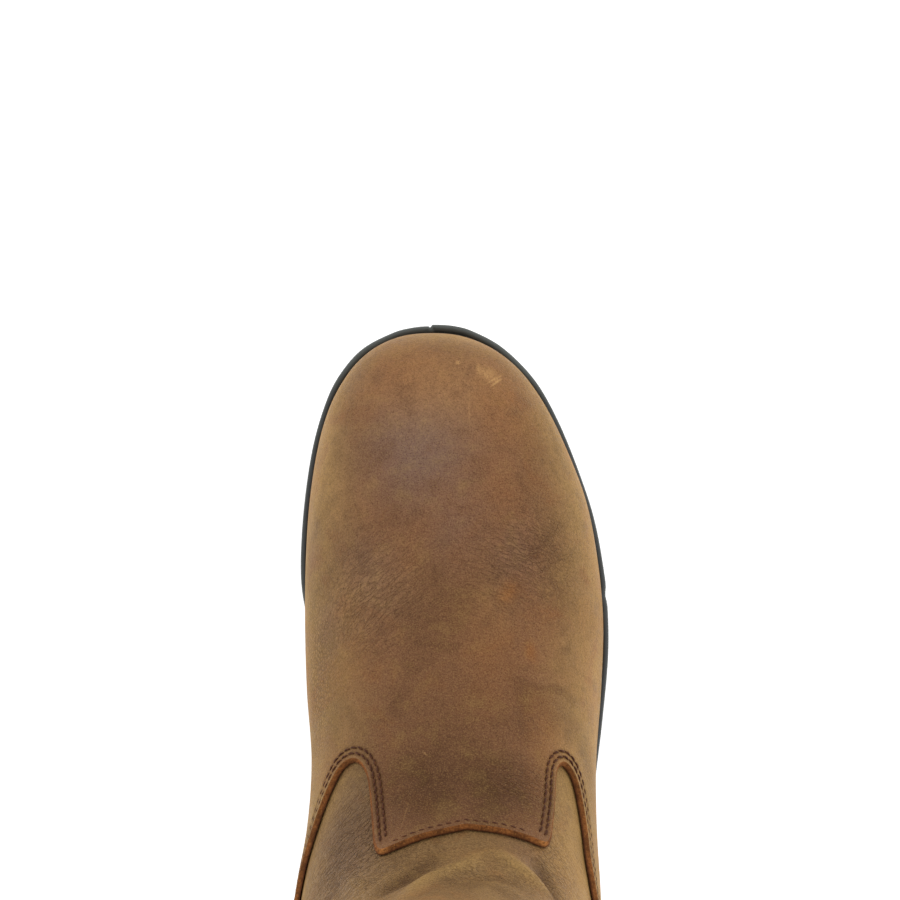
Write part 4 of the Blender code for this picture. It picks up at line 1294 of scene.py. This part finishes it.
class BOOT_OT_insole(BootPiece, bpy.types.Operator):
    """Cloth-covered footbed on the sole inside the upper"""

    bl_idname = "boot.insole"
    bl_label = "Insole"

    def execute(self, context):
        gap = self.sizes(context)["fit_gap"]
        rows = np.linspace(HEEL_SEAM_ROW, 0.0, INSOLE_STEPS * HEEL_SEAM_ROW + 1)
        sizes = section_sizes(rows)
        stations = np.column_stack([sizes["base_from_heel"], sizes["foot_medial"], sizes["foot_lateral"]])
        ring = inset_outline(closed_outline(stations), INSOLE_INSET)

        def underside(from_heel):
            return sole_top(from_heel) + gap

        def footbed(from_heel):
            return underside(from_heel) + INSOLE_THICKNESS

        rings = side_rings(ring, INSOLE_SIDE, underside, footbed)
        faces = ring_faces(len(rings), len(ring))
        insole = new_piece("boot_insole", np.vstack(rings), faces, [brushed_insole(context)])
        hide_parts("insole")
        return {"FINISHED"}


# Materials


def set_inputs(tree, node, inputs):
    """Gives each named input of a node a value or a link."""
    for socket, value in inputs.items():
        if isinstance(value, bpy.types.NodeSocket):
            tree.links.new(value, node.inputs[socket])
        else:
            node.inputs[socket].default_value = value


def add_node(tree, kind, inputs=None, **settings):
    """Adds a node with its settings and inputs."""
    node = tree.nodes.new(kind)
    for name, value in settings.items():
        setattr(node, name, value)
    set_inputs(tree, node, inputs or {})
    return node


def new_material(name):
    """Empty material with its node tree, shader and the boot's own coordinates in metres."""
    material = bpy.data.materials.new(name)
    material.use_nodes = True
    tree = material.node_tree
    shader = tree.nodes["Principled BSDF"]
    place = add_node(tree, "ShaderNodeTexCoord").outputs["Object"]
    return material, tree, shader, place


def opaque(colour):
    """Colour with full cover."""
    return (*colour, 1.0)


def per_size(millimetres):
    """Texture scale that gives features of about this size."""
    return 1.0 / (millimetres * MM)


MIX_FACTOR, MIX_A, MIX_B, MIX_RESULT = 0, 6, 7, 2


def tinted(tree, colour, layers):
    """Colour with tints laid over it in turn.

    Each layer gives what drives it, the values where it starts and is full, its most strength and its tint.
    """
    for driver, start, full, most, tint in layers:
        amount = add_node(tree, "ShaderNodeMapRange", {
            "Value": driver, "From Min": start, "From Max": full, "To Max": most})
        mixed = add_node(tree, "ShaderNodeMix", {
            MIX_FACTOR: amount.outputs["Result"], MIX_A: colour, MIX_B: opaque(tint)}, data_type="RGBA")
        colour = mixed.outputs[MIX_RESULT]
    return colour


def drivers(tree, place, clouds, marks=()):
    """What tints and bumps follow, by name: clouds from a table, and the marks of the mesh's points."""
    sockets = {}
    for name, (size, detail, roughness, distortion) in clouds.items():
        sockets[name] = add_node(tree, "ShaderNodeTexNoise", {
            "Vector": place, "Scale": per_size(size), "Detail": detail, "Roughness": roughness,
            "Distortion": distortion}).outputs["Fac"]
    for name in marks:
        sockets[name] = add_node(tree, "ShaderNodeAttribute", attribute_name=name).outputs["Fac"]
    return sockets


def waxed_leather(context, name, base, wrinkle_turns, strokes):
    """Oiled nubuck with a wax finish: matt, cloudy brown, lighter and golden where the wax is rubbed thin,
    with the sides painted golden and fold ridges painted lighter as painted light, creases, fold troughs and
    stitch troughs painted darker as painted shade, a fine nap, pores, wrinkles at the ball, scratches and a
    soft sheen at grazing angles."""
    colours = context.scene.boot_colours
    material, tree, shader, place = new_material(name)
    by = drivers(tree, place, CLOUDS["leather"], (*MARK_KINDS, "side", "lift", "stitch"))
    pores = add_node(tree, "ShaderNodeTexVoronoi", {"Vector": place, "Scale": per_size(PORE_SPACING)})

    layers = [
        # This layer paints the sides golden by how far they face aside: painted light.
        (by["smoke"], 0.1, 0.55, by["side"], colours.gold),
        (by["broad"], 0.5, 0.75, 0.4, colours.dark),
        (by["broad"], 0.48, 0.25, 0.35, colours.orange),
        (by["smoke"], 0.52, 0.75, 0.4, colours.dark),
        (by["smoke"], 0.46, 0.25, 0.35, colours.orange),
        (by["patch"], -0.1, 0.6, by["violet"], colours.violet),
        (by["patch"], -0.1, 0.6, by["dark"], colours.dark),
        (by["patch"], -0.1, 0.6, by["orange"], colours.orange),
        (by["patch"], -0.1, 0.6, by["gold"], colours.gold),
        # Fold ridges painted golden and troughs dark: painted highlight and painted shade on the folds, the
        # ridges partly also wax rubbed thin.
        (by["lift"], 0.2, 1.7, 0.8, colours.gold),
        (by["lift"], -0.15, -1.5, 0.6, colours.dark),
        (by["patch"], -0.1, 0.6, by["pale"], colours.scuff),
        (by["patch"], 0.52, 0.75, 0.3, colours.gold),
        (by["patch"], 0.46, 0.3, 0.22, colours.dark),
        (by["grain"], 0.5, 0.3, 0.2, colours.dark),
        (by["nap"], 0.5, 0.25, 0.6, colours.dark),
        (by["nap"], 0.5, 0.75, 0.4, colours.gold),
        (pores.outputs["Distance"], 0.26, 0.1, 0.18, colours.dark),
        # Painted shade along the stitch troughs.
        (by["stitch"], 0.0, 1.0, 0.2, colours.dark),
    ]
    for across, from_heel, half_length, half_width, turn, strength in strokes:
        oval = add_node(tree, "ShaderNodeMapping", {
            "Vector": place, "Location": to_world([(across, from_heel, 0.0)])[0],
            "Rotation": (0.0, 0.0, math.radians(turn)), "Scale": (half_length * MM, half_width * MM, 1.0)},
            vector_type="TEXTURE")
        away = add_node(tree, "ShaderNodeVectorMath", {0: oval.outputs["Vector"]}, operation="LENGTH")
        inside = add_node(tree, "ShaderNodeMapRange", {
            "Value": away.outputs["Value"], "From Min": 1.0, "From Max": 0.1, "To Max": strength})
        layers.append((by["nap"], 0.25, 0.5, inside.outputs["Result"], colours.scuff))

    # Creases, painted dark as shade in them, and sunk. Columns: mark, what draws it, where it starts and is
    # deepest, strength, depth.
    creases = []
    for kind, turn in zip(("wrinkle_inner", "wrinkle_outer"), wrinkle_turns):
        drawn_out = add_node(tree, "ShaderNodeMapping", {
            "Vector": place, "Rotation": (0.0, 0.0, math.radians(turn)),
            "Scale": (WRINKLE_STRETCH, 1.0, 1.0)}, vector_type="TEXTURE")
        wave = add_node(tree, "ShaderNodeTexNoise", {
            "Vector": drawn_out.outputs["Vector"], "Scale": per_size(WRINKLE_SPACING), "Detail": 2.0})
        line = add_node(tree, "ShaderNodeMath", {0: wave.outputs["Fac"], 1: 0.5}, operation="PINGPONG")
        creases.append((kind, line.outputs[0], 0.42, 0.5, 0.9, WRINKLE_DEPTH))
    cells = add_node(tree, "ShaderNodeTexVoronoi", {
        "Vector": place, "Scale": per_size(PEBBLE_SIZE)}, feature="DISTANCE_TO_EDGE")
    creases.append(("pebble", cells.outputs["Distance"], 0.28, 0.0, 0.8, PEBBLE_DEPTH))

    fine = add_node(tree, "ShaderNodeMath", {0: by["nap"], 1: by["grain"]}, operation="ADD")
    bump = add_node(tree, "ShaderNodeBump", {
        "Strength": 0.6, "Distance": 0.2 * MM, "Height": fine.outputs[0]})
    for kind, driver, start, full, strength, depth in creases:
        # Wrinkles and pebble edges painted dark: painted shade in the creases.
        layers.append((driver, start, full, by[kind], colours.dark))
        sunk = add_node(tree, "ShaderNodeMapRange", {
            "Value": driver, "From Min": start, "From Max": full, "To Max": by[kind]})
        bump = add_node(tree, "ShaderNodeBump", {
            "Strength": strength, "Distance": -depth * MM, "Height": sunk.outputs["Result"],
            "Normal": bump.outputs["Normal"]})
    rubbed = add_node(tree, "ShaderNodeMapRange", {
        "Value": by["patch"], "From Min": 0.3, "From Max": 0.7, "To Min": 0.55, "To Max": 0.7})
    set_inputs(tree, shader, {
        "Base Color": tinted(tree, opaque(base), layers), "Normal": bump.outputs["Normal"],
        "Roughness": rubbed.outputs["Result"], "IOR": 1.45, "Specular IOR Level": 0.15,
        "Sheen Weight": 0.3, "Sheen Roughness": 0.25, "Sheen Tint": opaque(linear(SHEEN_TINT))})
    return material


def vamp_leather(context):
    """Waxed leather of the vamp, with its scuff and scratches."""
    base = context.scene.boot_colours.leather
    return waxed_leather(context, "waxed_nubuck_vamp", base, VAMP_WRINKLE_TURNS, STROKES)


def leg_leather(context):
    """Waxed leather of the leg."""
    base = context.scene.boot_colours.shaft
    return waxed_leather(context, "waxed_nubuck_leg", base, LEG_WRINKLE_TURNS, ())


def cut_leather_edge(context):
    """Raw cut edge of thick leather: orange-brown packed fibres, matt, a bit fuzzy, darker where handled,
    painted bright at the tab's corners as a painted highlight and darker towards its lower side as painted
    shade.
    """
    colours = context.scene.boot_colours
    material, tree, shader, place = new_material("raw_cut_leather")
    by = drivers(tree, place, CLOUDS["cut_edge"], ("painted_corner_highlight", "depth"))
    layers = (
        (by["handled"], 0.42, 0.65, 0.6, colours.dark),
        # Painted highlight at the tab's corners.
        (by["painted_corner_highlight"], 0.0, 1.0, 1.0, colours.edge_fibres_and_highlight),
        (by["fibres"], 0.47, 0.65, 0.75, colours.dark),
        (by["fibres"], 0.45, 0.3, 0.55, colours.edge_fibres_and_highlight),
        # Painted shade: the cut face darker towards its lower side.
        (by["depth"], 0.5, 0.95, 0.85, colours.thread),
    )
    bump = add_node(tree, "ShaderNodeBump", {"Strength": 0.8, "Distance": 0.4 * MM, "Height": by["fibres"]})
    set_inputs(tree, shader, {
        "Base Color": tinted(tree, opaque(colours.cut_edge), layers), "Normal": bump.outputs["Normal"],
        "Roughness": 0.8, "Specular IOR Level": 0.1})
    return material


def waxed_thread(context):
    """Twisted, waxed polyester sewing thread: dark maroon, with painted orange glints on the strands standing
    in for their small silky shine.
    """
    colours = context.scene.boot_colours
    material, tree, shader, place = new_material("twisted_waxed_thread")
    strands = drivers(tree, place, CLOUDS["thread"])["strands"]
    layers = (
        (strands, 0.5, 0.3, 0.6, colours.dark),
        # Orange flecks on the strands are painted glints: painted highlight.
        (strands, 0.55, 0.75, 0.7, colours.orange),
    )
    bump = add_node(tree, "ShaderNodeBump", {"Strength": 0.5, "Distance": 0.15 * MM, "Height": strands})
    set_inputs(tree, shader, {
        "Base Color": tinted(tree, opaque(colours.thread), layers), "Normal": bump.outputs["Normal"],
        "Roughness": 0.6, "Specular IOR Level": 0.12})
    return material


def moulded_rubber(context):
    """Black rubber from a blasted mould: dark grey, matt, with a fine sand texture and a dull shine, its
    rim's outer edge painted lighter as a painted highlight.
    """
    colours = context.scene.boot_colours
    material, tree, shader, place = new_material("moulded_black_rubber")
    by = drivers(tree, place, CLOUDS["rubber"], ("rim_highlight",))
    layers = (
        (by["dust"], 0.4, 0.75, 0.12, colours.dust),
        # Painted highlight on the rim's outer edge.
        (by["rim_highlight"], 0.0, 1.0, 0.8, colours.dust),
    )
    bump = add_node(tree, "ShaderNodeBump", {"Strength": 0.4, "Distance": 0.12 * MM, "Height": by["grit"]})
    worn = add_node(tree, "ShaderNodeMapRange", {
        "Value": by["grit"], "From Min": 0.3, "From Max": 0.7, "To Min": 0.45, "To Max": 0.6})
    set_inputs(tree, shader, {
        "Base Color": tinted(tree, opaque(colours.rubber), layers), "Normal": bump.outputs["Normal"],
        "Roughness": worn.outputs["Result"], "IOR": 1.52})
    return material


def woven_cloth(name, colour, shade, thread_size):
    """Plain cloth with a brushed face: soft, matt, with a faint cross-weave and fuzzy tone."""
    material, tree, shader, place = new_material(name)
    heights = []
    for direction in ("X", "Y"):
        wave = add_node(tree, "ShaderNodeTexWave", {
            "Vector": place, "Scale": per_size(thread_size) * WAVE_LENGTH, "Distortion": 1.5, "Detail": 1.0},
            bands_direction=direction)
        heights.append(wave.outputs["Fac"])
    weave = add_node(tree, "ShaderNodeMath", {0: heights[0], 1: heights[1]}, operation="MAXIMUM")
    layers = ((drivers(tree, place, CLOUDS["cloth"])["fuzz"], 0.3, 0.7, 0.6, shade),)
    bump = add_node(tree, "ShaderNodeBump", {
        "Strength": 0.5, "Distance": 0.3 * MM, "Height": weave.outputs[0]})
    set_inputs(tree, shader, {
        "Base Color": tinted(tree, opaque(colour), layers), "Normal": bump.outputs["Normal"],
        "Roughness": 0.9, "Sheen Weight": 0.3})
    return material


def brushed_lining(context):
    """Tan cloth inside the leg and foot."""
    colours = context.scene.boot_colours
    return woven_cloth("brushed_cloth_lining", colours.lining, colours.shaft, LINING_THREAD)


def brushed_insole(context):
    """Dark cloth of the footbed."""
    colours = context.scene.boot_colours
    return woven_cloth("brushed_cloth_insole", colours.insole, colours.rubber, INSOLE_THREAD)


# Stage


class BOOT_OT_stage(bpy.types.Operator):
    """Pale floor, soft light from all sides and a camera straight above"""

    bl_idname = "boot.stage"
    bl_label = "Stage"

    def execute(self, context):
        scene = context.scene
        self.add_floor(context)
        self.add_world(scene)
        self.add_camera(scene)
        scene.view_settings.view_transform = "Standard"
        scene.view_settings.look = "None"
        return {"FINISHED"}

    def add_floor(self, context):
        bpy.ops.mesh.primitive_plane_add(size=FLOOR_SIZE, location=(0.0, 0.0, 0.0))
        floor = context.active_object
        floor.name = "floor"
        material, tree, shader, _ = new_material("matt_white_floor")
        set_inputs(tree, shader, {
            "Base Color": opaque(context.scene.boot_colours.floor), "Roughness": 0.9,
            "Emission Color": WHITE, "Emission Strength": FLOOR_GLOW})
        floor.data.materials.append(material)

    def add_world(self, scene):
        """Light tent: brightest at the boot's sides and calm overhead, so that sides look paler than tops."""
        world = bpy.data.worlds.new("light_tent")
        scene.world = world
        world.use_nodes = True
        tree = world.node_tree
        direction = add_node(tree, "ShaderNodeTexCoord").outputs["Generated"]
        lights = add_node(tree, "ShaderNodeMapping", {
            "Vector": direction, "Location": SIDE_LIGHT_SHIFT, "Scale": SIDE_LIGHT_REACH},
            vector_type="POINT").outputs["Vector"]
        side_light = add_node(tree, "ShaderNodeVectorMath", {0: lights, 1: lights}, operation="DOT_PRODUCT")
        strength = add_node(tree, "ShaderNodeMath", {
            0: side_light.outputs["Value"], 1: OVERHEAD_LIGHT}, operation="ADD")
        set_inputs(tree, tree.nodes["Background"], {"Strength": strength.outputs[0], "Color": WHITE})

    def add_camera(self, scene):
        camera = bpy.data.cameras.new("camera")
        camera.lens = CAMERA_LENS
        camera.sensor_width = SENSOR_WIDTH
        camera.clip_start, camera.clip_end = CAMERA_CLIP
        made = bpy.data.objects.new("camera", camera)
        scene.collection.objects.link(made)
        made.location = to_world([(CAMERA_ACROSS, CAMERA_FROM_HEEL, CAMERA_HEIGHT)])[0]
        scene.camera = made


class BOOT_PT_panel(bpy.types.Panel):
    """Buttons that build the boot piece by piece"""

    bl_label = "Pull-on Work Boot"
    bl_idname = "BOOT_PT_panel"
    bl_space_type = "VIEW_3D"
    bl_region_type = "UI"
    bl_category = "Boot"

    def draw(self, context):
        for operator in PIECE_OPERATORS:
            self.layout.operator(operator.bl_idname)
        for group in (context.scene.boot_sizes, context.scene.boot_colours):
            for name in type(group).__annotations__:
                self.layout.prop(group, name)


PIECE_OPERATORS = (
    BOOT_OT_upper, BOOT_OT_lining, BOOT_OT_vamp, BOOT_OT_stitches,
    BOOT_OT_sole, BOOT_OT_insole, BOOT_OT_stage)
CLASSES = (BootSizes, BootColours, *PIECE_OPERATORS, BOOT_PT_panel)


def register():
    for made in CLASSES:
        bpy.utils.register_class(made)
    bpy.types.Scene.boot_sizes = PointerProperty(type=BootSizes)
    bpy.types.Scene.boot_colours = PointerProperty(type=BootColours)


def unregister():
    del bpy.types.Scene.boot_colours
    del bpy.types.Scene.boot_sizes
    for made in reversed(CLASSES):
        bpy.utils.unregister_class(made)


def main():
    register()
    bpy.ops.boot.upper()
    bpy.ops.boot.lining()
    bpy.ops.boot.vamp()
    bpy.ops.boot.stitches()
    bpy.ops.boot.sole()
    bpy.ops.boot.insole()
    bpy.ops.boot.stage()


if __name__ == "__main__":
    main()
